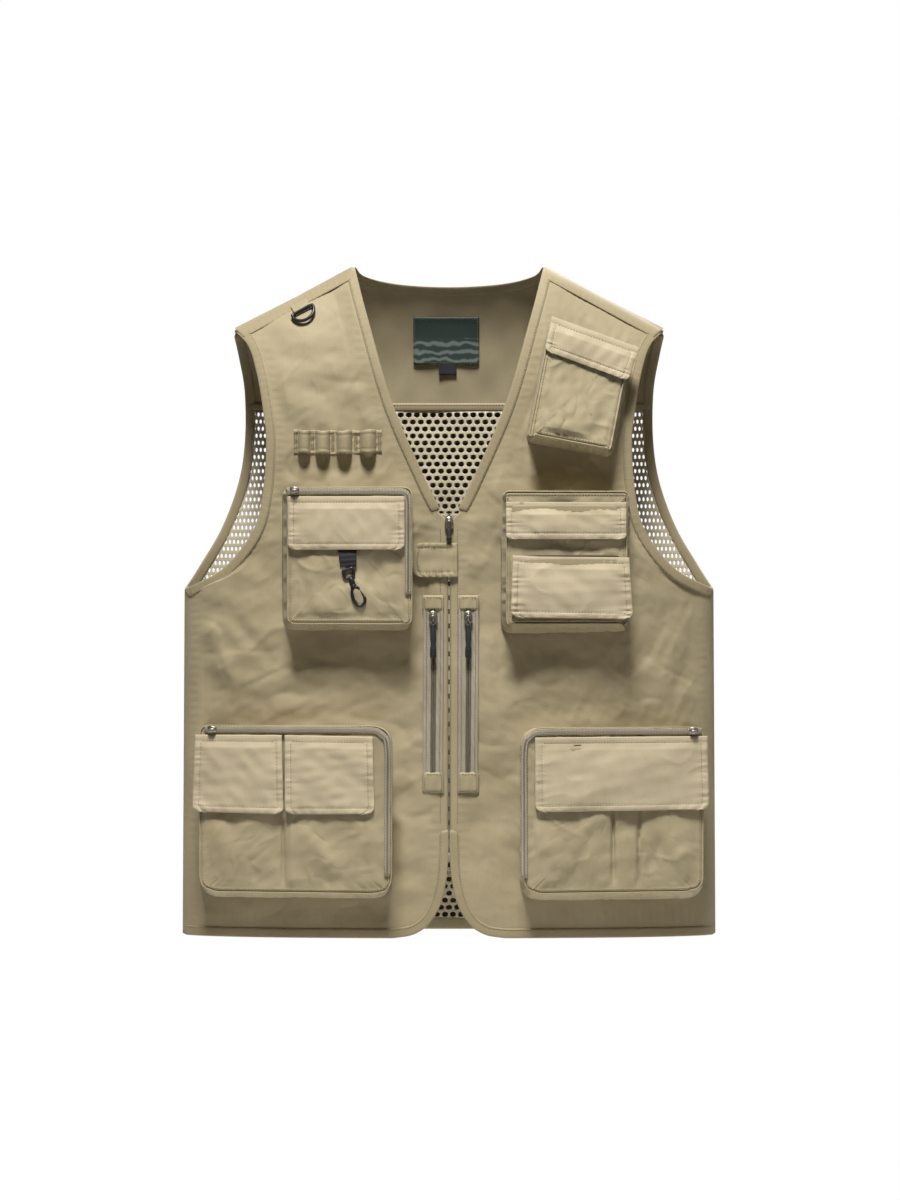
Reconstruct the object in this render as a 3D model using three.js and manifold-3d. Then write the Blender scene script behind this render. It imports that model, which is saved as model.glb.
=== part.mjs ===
import * as THREE from "three";
import { mergeVertices } from "three/addons/utils/BufferGeometryUtils.js";
import Module from "manifold-3d";

const wasm = await Module();
wasm.setup();

// Driving sizes, in millimetres. The garment pattern is graded by the first two.
const hemHalfWidth = 281;
const bodyLength = 702;
const chestEase = 4;
const frontDepth = 70;
const backDepth = 60;
const shoulderRound = 170;
const shoulderSlope = 0.54;
const clothThickness = 1.4;
const bindingWidth = 9;
const bindingThickness = 2.2;
const fit = 0.3;
const chestPocketDepth = 26;
const lowerPocketDepth = 30;
const shoulderPocketDepth = 22;
const pocketWall = 1.6;
const flapThickness = 1.6;
const flapFit = 0.5;
const zipWidth = 4.6;
const zipThickness = 2;
const pocketCorner = 20;
const sliderLength = 13;
const sliderWidth = 9;
const sliderHeight = 4;
const pullLength = 36;
const pullWidth = 7;
const pullThickness = 2.4;
const ringWire = 2.6;
const hookThickness = 3.4;

// The pattern is drawn at its base size and graded to the sizes above.
const wide = hemHalfWidth / 281;
const long = bodyLength / 702;
const neckHalf = 101 * wide;

const khaki = 0xb0a383;
const flapKhaki = 0xbfb393;
const binding = 0xa89b7a;
const meshBeige = 0xcfc8b4;
const tapeGrey = 0x8c8470;
const blackPlastic = 0x1c1c1e;
const zincGrey = 0x55534e;
const labelGreen = 0x24382f;

function material(colour, roughness, metalness = 0) {
  return new THREE.MeshStandardMaterial({ color: colour, roughness, metalness });
}

const vest = new THREE.Group();
vest.name = "fishing_vest";

function toSolid(geometry) {
  const plain = new THREE.BufferGeometry();
  const flat = geometry.index ? geometry.toNonIndexed() : geometry;
  plain.setAttribute("position", flat.getAttribute("position"));
  const merged = mergeVertices(plain, 1e-4);
  return new wasm.Manifold(
    new wasm.Mesh({
      numProp: 3,
      vertProperties: merged.attributes.position.array,
      triVerts: new Uint32Array(merged.index.array),
    }),
  );
}

function addPiece(name, solid, colour, roughness = 0.85, metalness = 0) {
  const made = solid.getMesh();
  const count = made.numProp;
  const positions = new Float32Array(made.numVert * 3);
  for (let i = 0; i < made.numVert; i++) {
    positions.set(made.vertProperties.subarray(i * count, i * count + 3), i * 3);
  }
  const geometry = new THREE.BufferGeometry();
  geometry.setAttribute("position", new THREE.BufferAttribute(positions, 3));
  geometry.setIndex(new THREE.BufferAttribute(new Uint32Array(made.triVerts), 1));
  geometry.computeVertexNormals();
  const mesh = new THREE.Mesh(geometry, material(colour, roughness, metalness));
  mesh.name = name;
  vest.add(mesh);
}

// The torso: half width, shoulder line and depth of the front and back at a point.
function halfWidth(z) {
  const share = THREE.MathUtils.clamp(-z / bodyLength, 0, 1);
  return hemHalfWidth - chestEase * wide * (1 - share);
}

function shoulderZ(x) {
  return -shoulderSlope * Math.max(0, Math.abs(x) - neckHalf) * (long / wide);
}

function bulge(x, z) {
  const across = Math.min(1, Math.abs(x) / halfWidth(z));
  const drop = THREE.MathUtils.clamp((shoulderZ(x) - z) / shoulderRound, 0, 1);
  const round = Math.sqrt(Math.max(0, 1 - Math.pow(across, 2.6)));
  return round * Math.sqrt(Math.max(0, 1 - (1 - drop) * (1 - drop)));
}

// A curved layer of the front (side -1) or back (side 1) between two distances outwards.
const acrossSteps = 22;
const downSteps = 13;

function layer(side, inner, outer) {
  const box = new THREE.BoxGeometry(2, 1, 1, acrossSteps, downSteps, 1);
  const at = box.getAttribute("position");
  const depth = side < 0 ? frontDepth : backDepth;
  for (let i = 0; i < at.count; i++) {
    const across = Math.sin((Math.PI / 2) * at.getX(i));
    const down = Math.pow(0.5 - at.getY(i), 1.7);
    const top = shoulderZ(across * (hemHalfWidth - chestEase * wide));
    const z = top - down * (bodyLength + top);
    const x = across * halfWidth(z);
    const away = at.getZ(i) > 0 === side < 0 ? outer : inner;
    const y = side < 0 ? -depth * bulge(x, z) - away : fit + depth * bulge(x, z) + away;
    at.setXYZ(i, x, y, z);
  }
  return toSolid(box);
}

// Pattern points are given as [x, z] in the base size; mirror is 1 or -1.
function graded(points, mirror = 1) {
  return points.map(([x, z]) => new THREE.Vector2(x * wide * mirror, z * long));
}

function smooth(points, steps = 20) {
  return new THREE.SplineCurve(points).getPoints(steps);
}

// A column along Y over an outline in x and z.
function column(outline, from = -260, to = 200) {
  const shape = new THREE.Shape(outline);
  const geometry = new THREE.ExtrudeGeometry(shape, { depth: to - from, bevelEnabled: false });
  geometry.rotateX(Math.PI / 2);
  geometry.translate(0, to, 0);
  return toSolid(geometry);
}

// The band beside a line, between two distances to its left.
function band(line, near, far) {
  const offset = (distance) =>
    line.map((point, i) => {
      const before = line[Math.max(0, i - 1)];
      const after = line[Math.min(line.length - 1, i + 1)];
      const along = after.clone().sub(before).normalize();
      return new THREE.Vector2(point.x - along.y * distance, point.y + along.x * distance);
    });
  return [...offset(near), ...offset(far).reverse()];
}

function rectangle(left, right, bottom, top) {
  return graded([
    [left, bottom],
    [right, bottom],
    [right, top],
    [left, top],
  ]);
}

// The seams of the right front, as the wearer has it, on the -X side.
const neckEdge = [[-101, 6], [-98, -12], [-86, -56], [-60, -146], [-25, -227], [-10, -257]];
const frontArmhole = [
  [-229, -60], [-210, -84], [-200, -115], [-193, -155], [-190, -185], [-192, -227],
  [-199, -267], [-214, -295], [-240, -322], [-286, -343],
];
const backArmhole = [
  [-229, -60], [-222, -92], [-216, -130], [-216, -182], [-223, -227], [-240, -274],
  [-262, -312], [-286, -334],
];
const hemCorner = [[-3, -600], [-6, -640], [-18, -676], [-50, -701.5]];

const frontLayer = layer(-1, 0, clothThickness);
const frontBindingLayer = layer(-1, 0, bindingThickness);
const trimLayer = layer(-1, clothThickness + fit, clothThickness + fit + zipThickness);
const bindingCutter = layer(-1, -200, bindingThickness + fit);
let frontCutter = layer(-1, -200, clothThickness + fit);
const backLayer = layer(1, 0, clothThickness);
const backBindingLayer = layer(1, 0, bindingThickness);
const backOuterLayer = layer(1, clothThickness + fit, 2 * clothThickness + fit);
const backInsideLayer = layer(1, -fit - 1, -fit);

for (const [side, mirror] of [["right", 1], ["left", -1]]) {
  const line = (points, steps) => {
    const made = smooth(graded(points, mirror), steps);
    return mirror > 0 ? made : made.reverse();
  };
  const neck = line(neckEdge, 14);
  const armhole = line(frontArmhole, 20);
  const behind = line(backArmhole, 18);
  const corner = line(hemCorner, 9);
  const neckTurn = mirror > 0 ? neck : neck.slice().reverse();
  const armTurn = mirror > 0 ? armhole : armhole.slice().reverse();
  const cornerTurn = mirror > 0 ? corner : corner.slice().reverse();
  const low = -bodyLength - 5;
  const outline = [
    ...neckTurn,
    ...graded([[-3, -268], [-3, -590]], mirror),
    ...cornerTurn,
    new THREE.Vector2(-50 * wide * mirror, low),
    new THREE.Vector2(-300 * wide * mirror, low),
    ...graded([[-300, -343]], mirror),
    ...armTurn.slice().reverse(),
    ...graded([[-229, 20], [-101, 20]], mirror),
  ];
  const whole = column(outline);
  const hemLine = [
    ...graded([[-3, -590]], mirror),
    ...cornerTurn,
    ...graded([[-80, -702], [-140, -702], [-210, -702], [-290, -702]], mirror),
  ];
  const hemTurn = mirror > 0 ? hemLine : hemLine.slice().reverse();
  const neckBand = column(band(neck, -bindingWidth, 3));
  const neckRoom = column(band(neck, -bindingWidth - fit, 3));
  const armBand = column(band(armhole, -3, bindingWidth));
  const armRoom = column(band(armhole, -3, bindingWidth + fit));
  const hemBand = column(band(hemTurn, -bindingWidth, 3));
  const hemRoom = column(band(hemTurn, -bindingWidth - fit, 3));
  const panel = frontLayer.intersect(whole).subtract(neckRoom).subtract(armRoom);
  addPiece(`${side}_front_panel`, panel.subtract(hemRoom), khaki);
  const neckPiece = frontBindingLayer.intersect(whole).intersect(neckBand).subtract(armRoom);
  addPiece(`${side}_neck_binding`, neckPiece, binding);
  addPiece(`${side}_armhole_binding`, frontBindingLayer.intersect(whole).intersect(armBand), binding);
  const hemPiece = frontBindingLayer.intersect(whole).intersect(hemBand);
  addPiece(`${side}_hem_binding`, hemPiece, binding);
  const behindPiece = backBindingLayer.intersect(column(band(behind, 0, bindingWidth)));
  addPiece(`${side}_back_armhole_binding`, behindPiece, binding);
  frontCutter = frontCutter.add(bindingCutter.intersect(armRoom)).add(bindingCutter.intersect(neckRoom));
}

// The back: yoke, mesh lining, outer panel behind it, hem band, neck binding and labels.
const yokeSeam = -149;
const backHem = -690;
const backNeck = [[-101, 6], [-90, -9], [-55, -17], [0, -20], [55, -17], [90, -9], [101, 6]];
const backNeckLine = smooth(graded(backNeck), 18);
const backArm = smooth(graded(backArmhole), 18);
const backArmMirror = smooth(graded(backArmhole, -1), 18);
const backOutline = [
  ...backNeckLine,
  ...graded([[229, 20]]),
  ...backArmMirror,
  ...graded([[300, -334], [300, -710], [-300, -710], [-300, -334]]),
  ...backArm.slice().reverse(),
  ...graded([[-229, 20]]),
];
const backWhole = column(backOutline);
const backNeckRoom = column(band(backNeckLine, -7 - fit, 3));
const backArmRooms = column(band(backArm, -3, bindingWidth + fit)).add(
  column(band(backArmMirror.slice().reverse(), -3, bindingWidth + fit)),
);
const backPanel = backLayer.intersect(backWhole).subtract(backArmRooms).subtract(backNeckRoom);
addPiece("back_yoke", backPanel.intersect(column(rectangle(-330, 330, yokeSeam, 30))), khaki);
const lining = backPanel.intersect(column(rectangle(-330, 330, backHem, yokeSeam - fit)));
addPiece("back_mesh_lining", lining, meshBeige);
const outerOutline = graded([
  [-185, -132], [-185, -345], [-262, -372], [-272, -400], [-276, backHem],
  [276, backHem], [272, -400], [262, -372], [185, -345], [185, -132],
]);
addPiece("back_outer_panel", backOuterLayer.intersect(column(outerOutline)), khaki);
const hemStrip = column(rectangle(-330, 330, -703, backHem - fit));
addPiece("back_hem_band", backBindingLayer.intersect(hemStrip), binding);
const neckStrip = column(band(backNeckLine, -7, 3)).intersect(column(rectangle(-330, 330, -60, 30)));
addPiece("back_neck_binding", backBindingLayer.intersect(neckStrip).intersect(backWhole), binding);
addPiece("neck_label", backInsideLayer.intersect(column(rectangle(-38, 32, -99.7, -50))), labelGreen);
const tagOutline = column(rectangle(-11, 8, -110, -100));
addPiece("size_tag", backInsideLayer.intersect(tagOutline), blackPlastic);

// A flat sewn-on piece lies on a plane that clears the curved front under it.
function restPlane(left, right, bottom, top) {
  const depthAt = (x, z) => frontDepth * bulge(x * wide, z * long);
  const midX = (left + right) / 2;
  const midZ = (bottom + top) / 2;
  const slopeX = (depthAt(right, midZ) - depthAt(left, midZ)) / ((right - left) * wide);
  const slopeZ = (depthAt(midX, top) - depthAt(midX, bottom)) / ((top - bottom) * long);
  let level = -Infinity;
  for (let i = 0; i <= 6; i++) {
    for (let j = 0; j <= 6; j++) {
      const x = left + ((right - left) * i) / 6;
      const z = bottom + ((top - bottom) * j) / 6;
      level = Math.max(level, depthAt(x, z) - slopeX * x * wide - slopeZ * z * long);
    }
  }
  const base = level + clothThickness + fit;
  return { slopeX, slopeZ, base, depth: (x, z) => base + slopeX * x * wide + slopeZ * z * long };
}

// A plate on a plane between two distances in front of it.
function plate(outline, plane, inner, outer) {
  const geometry = new THREE.ExtrudeGeometry(new THREE.Shape(outline), {
    depth: outer - inner,
    bevelEnabled: false,
  });
  geometry.rotateX(Math.PI / 2);
  geometry.translate(0, -inner, 0);
  const at = geometry.getAttribute("position");
  for (let i = 0; i < at.count; i++) {
    const lean = plane.base + plane.slopeX * at.getX(i) + plane.slopeZ * at.getZ(i);
    at.setY(i, at.getY(i) - lean);
  }
  return toSolid(geometry);
}

function roundedOutline(left, right, bottom, top, radii) {
  const [topLeft, topRight, bottomRight, bottomLeft] = radii;
  const [l, r, b, t] = [left * wide, right * wide, bottom * long, top * long];
  const shape = new THREE.Shape();
  shape.moveTo(l + topLeft, t);
  shape.lineTo(r - topRight, t);
  shape.quadraticCurveTo(r, t, r, t - topRight);
  shape.lineTo(r, b + bottomRight);
  shape.quadraticCurveTo(r, b, r - bottomRight, b);
  shape.lineTo(l + bottomLeft, b);
  shape.quadraticCurveTo(l, b, l, b + bottomLeft);
  shape.lineTo(l, t - topLeft);
  shape.quadraticCurveTo(l, t, l + topLeft, t);
  return shape.getPoints(5).slice(0, -1);
}

function inset(outline, distance) {
  const line = outline.filter((p, i) => p.distanceTo(outline[(i + 1) % outline.length]) > 0.01);
  const count = line.length;
  return line.map((point, i) => {
    const into = point.clone().sub(line[(i + count - 1) % count]).normalize();
    const out = line[(i + 1) % count].clone().sub(point).normalize();
    const turn = into.clone().add(out).normalize();
    const reach = distance / Math.max(0.4, turn.dot(out));
    return new THREE.Vector2(point.x + turn.y * reach, point.y - turn.x * reach);
  });
}

// A pocket is a box with a front and a gusset, open to the panel and with mouths in its front.
function pocket(outline, plane, depth, mouths, dividers = []) {
  const clean = outline.filter((p, i) => p.distanceTo(outline[(i + 1) % outline.length]) > 0.01);
  let hollow = plate(inset(clean, pocketWall), plane, -60, depth - pocketWall);
  for (const divider of dividers) {
    hollow = hollow.subtract(plate(divider, plane, -61, depth));
  }
  let made = plate(clean, plane, -55, depth).subtract(hollow);
  for (const mouth of mouths) {
    made = made.subtract(plate(mouth, plane, depth - 4, depth + 4));
  }
  return made.subtract(frontCutter);
}

// Chest pocket on the right front, with a zip round its rim and a flap.
const chestRight = restPlane(-174, -38, -383, -235);
const chestRightOutline = roundedOutline(-174, -38, -383, -235, [6, 8, 10, 10]);
const chestRightMouth = rectangle(-158, -52, -264, -248);
addPiece(
  "chest_right_pocket",
  pocket(chestRightOutline, chestRight, chestPocketDepth, [chestRightMouth]),
  khaki,
);
const chestFront = chestPocketDepth + fit;
const flapInner = flapFit;
const flapOuter = flapFit + flapThickness;
const chestZipTop = rectangle(-168, -40, -236 - zipWidth, -236);
const chestZip = plate(chestZipTop, chestRight, chestFront, chestFront + zipThickness)
  .add(plate(rectangle(-44.6, -40, -340, -236), chestRight, chestFront, chestFront + zipThickness));
addPiece("chest_right_zip", chestZip, tapeGrey);
const chestFlap = roundedOutline(-166, -46, -298, -242.6, [1, 1, 5, 5]);
addPiece(
  "chest_right_flap",
  plate(chestFlap, chestRight, chestPocketDepth + flapInner, chestPocketDepth + flapOuter),
  flapKhaki,
);

// Chest pocket on the left front, with a small flap over the mouth and a deep one below.
const chestLeft = restPlane(54, 189, -386, -239);
const chestLeftOutline = roundedOutline(54, 189, -386, -239, [5, 5, 10, 10]);
const chestLeftMouths = [rectangle(70, 175, -272, -256), rectangle(74, 182, -330, -312)];
addPiece("chest_left_pocket", pocket(chestLeftOutline, chestLeft, chestPocketDepth, chestLeftMouths), khaki);
addPiece(
  "chest_left_top_flap",
  plate(
    roundedOutline(60, 183, -288, -249, [1, 1, 4, 4]),
    chestLeft,
    chestPocketDepth + flapInner,
    chestPocketDepth + flapOuter,
  ),
  flapKhaki,
);
addPiece(
  "chest_left_front_flap",
  plate(
    roundedOutline(65, 188, -371, -306, [1, 1, 8, 8]),
    chestLeft,
    chestPocketDepth + flapInner,
    chestPocketDepth + flapOuter,
  ),
  flapKhaki,
);

// Lower pockets, with a zip round each rim.
const lowerRight = restPlane(-262, -59, -662, -482);
const lowerRightOutline = roundedOutline(-262, -59, -662, -482, [
  pocketCorner / 2, pocketCorner, pocketCorner, pocketCorner,
]);
const lowerRightDivider = rectangle(-173, -171, -665, -480);
addPiece(
  "lower_right_pocket",
  pocket(
    lowerRightOutline,
    lowerRight,
    lowerPocketDepth,
    [rectangle(-254, -182, -515, -497), rectangle(-162, -88, -515, -497)],
    [lowerRightDivider],
  ),
  khaki,
);
const lowerFront = lowerPocketDepth + fit;
const lowerRightZipTop = rectangle(-254, -66, -483 - zipWidth, -483);
const lowerRightZipBend = graded([[-70, -483], [-61.4, -500], [-66, -502], [-73, -487.6]]);
const lowerZipOut = lowerFront + zipThickness;
const lowerRightZip = plate(lowerRightZipTop, lowerRight, lowerFront, lowerZipOut)
  .add(plate(rectangle(-66, -61.4, -634, -500), lowerRight, lowerFront, lowerFront + zipThickness))
  .add(plate(lowerRightZipBend, lowerRight, lowerFront, lowerZipOut));
addPiece("lower_right_zip", lowerRightZip, tapeGrey);
addPiece(
  "lower_right_outer_flap",
  plate(
    roundedOutline(-266, -174, -572, -490, [1, 1, 8, 8]),
    lowerRight,
    lowerPocketDepth + flapInner,
    lowerPocketDepth + flapOuter,
  ),
  flapKhaki,
);
addPiece(
  "lower_right_inner_flap",
  plate(
    roundedOutline(-170, -78, -572, -490, [1, 1, 8, 8]),
    lowerRight,
    lowerPocketDepth + flapInner,
    lowerPocketDepth + flapOuter,
  ),
  flapKhaki,
);

const lowerLeft = restPlane(73, 268, -664, -484);
const lowerLeftOutline = roundedOutline(73, 268, -664, -484, [
  pocketCorner, pocketCorner / 2, pocketCorner, pocketCorner,
]);
const lowerLeftPocket = pocket(lowerLeftOutline, lowerLeft, lowerPocketDepth, [
  rectangle(104, 252, -515, -498),
]);
const pleatOutline = rectangle(171, 198, -658, -580);
const pleatStrip = plate(pleatOutline, lowerLeft, lowerPocketDepth - 1, lowerPocketDepth + 1.2);
addPiece("lower_left_pocket", lowerLeftPocket.add(pleatStrip), khaki);
const lowerLeftZipTop = rectangle(80, 262, -485 - zipWidth, -485);
const lowerLeftZipBend = graded([[87, -489.6], [80, -504], [75.4, -502], [84, -485]]);
const lowerLeftZip = plate(lowerLeftZipTop, lowerLeft, lowerFront, lowerZipOut)
  .add(plate(rectangle(75.4, 80, -636, -502), lowerLeft, lowerFront, lowerFront + zipThickness))
  .add(plate(lowerLeftZipBend, lowerLeft, lowerFront, lowerZipOut));
addPiece("lower_left_zip", lowerLeftZip, tapeGrey);
addPiece(
  "lower_left_flap",
  plate(
    roundedOutline(89, 270, -570, -491.8, [1, 1, 8, 8]),
    lowerLeft,
    lowerPocketDepth + flapInner,
    lowerPocketDepth + flapOuter,
  ),
  flapKhaki,
);

// The tilted pocket on the left shoulder.
const shoulderPlane = restPlane(79, 197, -203, -55);
const shoulderOutline = graded([[104, -60], [193, -92], [170, -203], [79, -186]]);
const shoulderMouth = graded([[108, -84], [182, -107], [184, -99], [110, -76]]);
addPiece(
  "shoulder_pocket",
  pocket(shoulderOutline, shoulderPlane, shoulderPocketDepth, [shoulderMouth]),
  khaki,
);
const shoulderFlapOutline = graded([[100, -92], [185, -122], [197, -89], [107, -57]]);
addPiece(
  "shoulder_flap",
  plate(
    shoulderFlapOutline,
    shoulderPlane,
    shoulderPocketDepth + flapInner,
    shoulderPocketDepth + flapOuter,
  ),
  flapKhaki,
);

// Zips up the middle and in the two welts beside it.
const zipTop = -262;
const zipBottom = -615;
for (const [side, mirror] of [["right", -1], ["left", 1]]) {
  const tape = layer(-1, -fit - 1.2, -fit);
  const teeth = layer(-1, -fit - 1.2, clothThickness);
  const strip = (near, far) => {
    const [left, right] = mirror < 0 ? [-far, -near] : [near, far];
    return column(rectangle(left, right, zipBottom, zipTop));
  };
  const half = tape.intersect(strip(0.15, 14)).add(teeth.intersect(strip(0.15, 2.6)));
  addPiece(`${side}_front_zip`, half, tapeGrey);
}

const midPlane = restPlane(-38, 38, -640, -255);
const weltTop = -362;
const weltBottom = -530;
const weltMiddle = { right: -16.5, left: 20 };

function slider(x, z, plane, base, alongX = false) {
  const [halfW, halfL] = alongX ? [sliderLength / 2, 2.9] : [sliderWidth / 2, sliderLength / 2];
  const outline = [
    new THREE.Vector2(x - halfW, z - halfL),
    new THREE.Vector2(x + halfW, z - halfL),
    new THREE.Vector2(x + halfW * 0.8, z + halfL),
    new THREE.Vector2(x - halfW * 0.8, z + halfL),
  ];
  return plate(outline, plane, base, base + sliderHeight);
}

// A pull hangs from the end of its slider: a wire eye, then the moulded grip.
function pull(x, top, plane, base) {
  const outline = [
    [-1.6, 0], [1.6, 0], [2, -8], [pullWidth / 2, -12], [pullWidth / 2, -pullLength + 3],
    [pullWidth / 2 - 2, -pullLength], [2 - pullWidth / 2, -pullLength],
    [-pullWidth / 2, -pullLength + 3], [-pullWidth / 2, -12], [-2, -8],
  ].map(([across, down]) => new THREE.Vector2(x + across, top + down));
  return plate(outline, plane, base, base + pullThickness);
}

for (const side of ["right", "left"]) {
  const x = weltMiddle[side];
  const welt = trimLayer.intersect(column(rectangle(x - 10.5, x + 10.5, -551, -348)));
  addPiece(`${side}_welt_zip`, welt, tapeGrey);
  const centre = weltTop * long - sliderLength / 2;
  const base = zipThickness + fit;
  addPiece(`${side}_welt_slider`, slider(x * wide, centre, midPlane, base), zincGrey, 0.4, 0.8);
  const pullBase = base + sliderHeight + fit;
  addPiece(`${side}_welt_pull`, pull(x * wide, centre, midPlane, pullBase), blackPlastic);
}
const frontSliderZ = zipTop * long - 2 - sliderLength / 2;
addPiece("front_slider", slider(0, frontSliderZ, midPlane, 0), zincGrey, 0.4, 0.8);
const frontPullTop = frontSliderZ;
const frontPullOutline = [
  [-1.5, 0], [1.5, 0], [3.4, -7], [3.4, -18], [-3.4, -18], [-3.4, -7],
].map(([across, down]) => new THREE.Vector2(across, frontPullTop + down));
const frontPullIn = sliderHeight + fit;
const frontPull = plate(frontPullOutline, midPlane, frontPullIn, frontPullIn + pullThickness);
addPiece("front_slider_pull", frontPull, blackPlastic);

addPiece(
  "storm_tab",
  plate(roundedOutline(-37, 9, -328, -291, [9, 1, 1, 9]), midPlane, 0, flapThickness),
  khaki,
);

const sliderBase = fit + zipThickness + fit;
addPiece(
  "chest_zip_slider",
  slider(-160 * wide, -236.6 * long, chestRight, chestPocketDepth + sliderBase, true),
  zincGrey, 0.4, 0.8,
);
addPiece(
  "lower_right_zip_slider",
  slider(-246 * wide, -485.3 * long, lowerRight, lowerPocketDepth + sliderBase, true),
  zincGrey, 0.4, 0.8,
);
addPiece(
  "lower_left_zip_slider",
  slider(254 * wide, -486.6 * long, lowerLeft, lowerPocketDepth + sliderBase, true),
  zincGrey, 0.4, 0.8,
);

// The loops for fly tubes: a sewn strip that rises into four sleeves.
const loopPlane = restPlane(-162, -70, -199, -173);
const loopStrip = plate(rectangle(-162, -70, -199, -173), loopPlane, 0, 1.4).subtract(frontCutter);
let loops = loopStrip;
for (const [x, radius] of [[-150, 6.5], [-130, 7.5], [-108, 7.5], [-86, 8]]) {
  const sleeve = new THREE.Shape();
  sleeve.absarc(0, 0, radius, 0, Math.PI, false);
  sleeve.absarc(0, 0, radius - 1.4, Math.PI, 0, true);
  const geometry = new THREE.ExtrudeGeometry(sleeve, { depth: 20, bevelEnabled: false, curveSegments: 8 });
  geometry.rotateX(Math.PI);
  geometry.translate(x * wide, -loopPlane.depth(x, -186) - 1, -176 * long);
  loops = loops.add(toSolid(geometry));
}
addPiece("fly_loop_strip", loops, khaki);

// The D-ring on the right shoulder, and the tab it hangs from.
const ringPlane = restPlane(-175, -130, -75, -32);
const tilt = Math.atan(shoulderSlope);
function turned(points, x, z, angle) {
  return points.map(([across, up]) => new THREE.Vector2(across, up).rotateAround(new THREE.Vector2(), angle))
    .map((p) => p.add(new THREE.Vector2(x * wide, z * long)));
}
const ringTab = plate(turned([[-9, -5], [9, -5], [9, 9], [-9, 9]], -155, -45, tilt), ringPlane, -14, 2)
  .subtract(frontCutter);
addPiece("d_ring_tab", ringTab, khaki);
const ringLine = [];
for (let i = 0; i <= 12; i++) {
  const angle = Math.PI + (Math.PI * i) / 12;
  ringLine.push([13 * Math.cos(angle), -8 + 13 * Math.sin(angle)]);
}
const ringOutline = turned([[-13, -5.5], ...ringLine, [13, -5.5]], -155, -45, tilt);
const ringHole = turned(
  [[-10, -8.4], ...ringLine.map(([a, b]) => [a * 0.79, -8.4 + (b + 8) * 0.79]), [10, -8.4]],
  -155, -45, tilt,
);
const ring = plate(ringOutline, ringPlane, fit, fit + ringWire)
  .subtract(plate(ringHole, ringPlane, fit - 1, fit + ringWire + 1));
addPiece("d_ring", ring, blackPlastic, 0.45);

// The snap hook under the chest flap: its tab, the hook with its eye, and the gate.
addPiece(
  "hook_tab",
  plate(rectangle(-115, -96, -312.6, -300), chestRight, chestFront, chestFront + 2),
  blackPlastic,
);
const hookTilt = 0.36;
const hookOutline = [
  [-6, 0], [6, 0], [6, -9], [3, -12], [3, -16], [5.5, -19], [5.5, -24], [3.2, -24], [3.2, -21],
  [-1.5, -21], [-2.6, -26], [-2.2, -34], [1.5, -38], [5.2, -35.5], [5.2, -32.6], [7.6, -32.6],
  [7.6, -37], [2, -42.5], [-3.6, -40], [-6.6, -34], [-6.8, -24], [-5.5, -19], [-3, -16],
  [-3, -12], [-6, -9],
];
const hookBase = chestFront;
const hookTop = [-105.5, -318.8];
const hookEye = [[-4, -2.4], [4, -2.4], [4, -7.4], [-4, -7.4]];
const hook = plate(turned(hookOutline, ...hookTop, hookTilt), chestRight, hookBase, hookBase + hookThickness)
  .subtract(plate(turned(hookEye, ...hookTop, hookTilt), chestRight, 0, 60));
addPiece("snap_hook", hook, blackPlastic, 0.45);
const gateOutline = [[3.4, -24.4], [5.4, -24.4], [7.2, -31.6], [5.2, -31.6]];
addPiece(
  "hook_gate",
  plate(turned(gateOutline, ...hookTop, hookTilt), chestRight, hookBase, hookBase + hookThickness),
  blackPlastic, 0.45,
);

export default vest;
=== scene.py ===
import math
import bmesh
import bpy
import numpy as np
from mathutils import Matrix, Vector


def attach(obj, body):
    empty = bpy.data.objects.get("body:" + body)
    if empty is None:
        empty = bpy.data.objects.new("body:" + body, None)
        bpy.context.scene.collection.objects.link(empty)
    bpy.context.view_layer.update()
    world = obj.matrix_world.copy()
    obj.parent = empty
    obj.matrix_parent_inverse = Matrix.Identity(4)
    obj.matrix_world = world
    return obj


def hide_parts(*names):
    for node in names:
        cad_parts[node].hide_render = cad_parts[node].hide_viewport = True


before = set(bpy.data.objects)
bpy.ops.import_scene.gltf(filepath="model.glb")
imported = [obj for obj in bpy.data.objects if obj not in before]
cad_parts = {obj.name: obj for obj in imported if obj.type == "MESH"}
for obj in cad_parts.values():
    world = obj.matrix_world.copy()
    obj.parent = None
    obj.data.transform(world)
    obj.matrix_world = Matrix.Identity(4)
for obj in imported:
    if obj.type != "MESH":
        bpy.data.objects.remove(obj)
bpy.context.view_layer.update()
mm = 0.001

# the garment block in millimetres, the same one that the solids are cut from
block = {"hemHalf": 281.0, "length": 702.0, "ease": 4.0, "front": 70.0, "back": 60.0,
         "shoulderRound": 170.0, "slope": 0.54, "neck": 101.0, "cloth": 1.4, "fit": 0.3}


def halfWidth(z):
    # hem half width less an ease that grows from hem to shoulder in a straight line
    return block["hemHalf"] - block["ease"] * (1 - np.clip(-z / block["length"], 0, 1))


def shoulderZ(x):
    # level across the neck, then falling at a steady slope
    return -block["slope"] * np.maximum(0, np.abs(x) - block["neck"])


def bulge(x, z):
    # a superellipse of power 2.6 across, times a quarter circle down from the shoulder
    across = np.minimum(1, np.abs(x) / halfWidth(z))
    drop = np.clip((shoulderZ(x) - z) / block["shoulderRound"], 0, 1)
    return np.sqrt(np.maximum(0, 1 - across ** 2.6)) * np.sqrt(np.maximum(0, 1 - (1 - drop) ** 2))


def onFront(x, z, out):
    return np.stack([x, -block["front"] * bulge(x, z) - out, z + 0 * x], -1)


def onBack(x, z, out):
    return np.stack([x, block["fit"] + block["back"] * bulge(x, z) + out, z + 0 * x], -1)


def noise(p, size, seed):
    # twelve sine waves with random directions, lengths near the size and random phases, averaged
    rng = np.random.default_rng(seed)
    total = 0
    for _ in range(12):
        way = rng.normal(size=p.shape[-1])
        way /= np.linalg.norm(way)
        total = total + np.sin(p @ way * (2 * math.pi / (size * rng.uniform(0.6, 1.7))) + rng.uniform(0, 6.28))
    return total / 3.5


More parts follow.
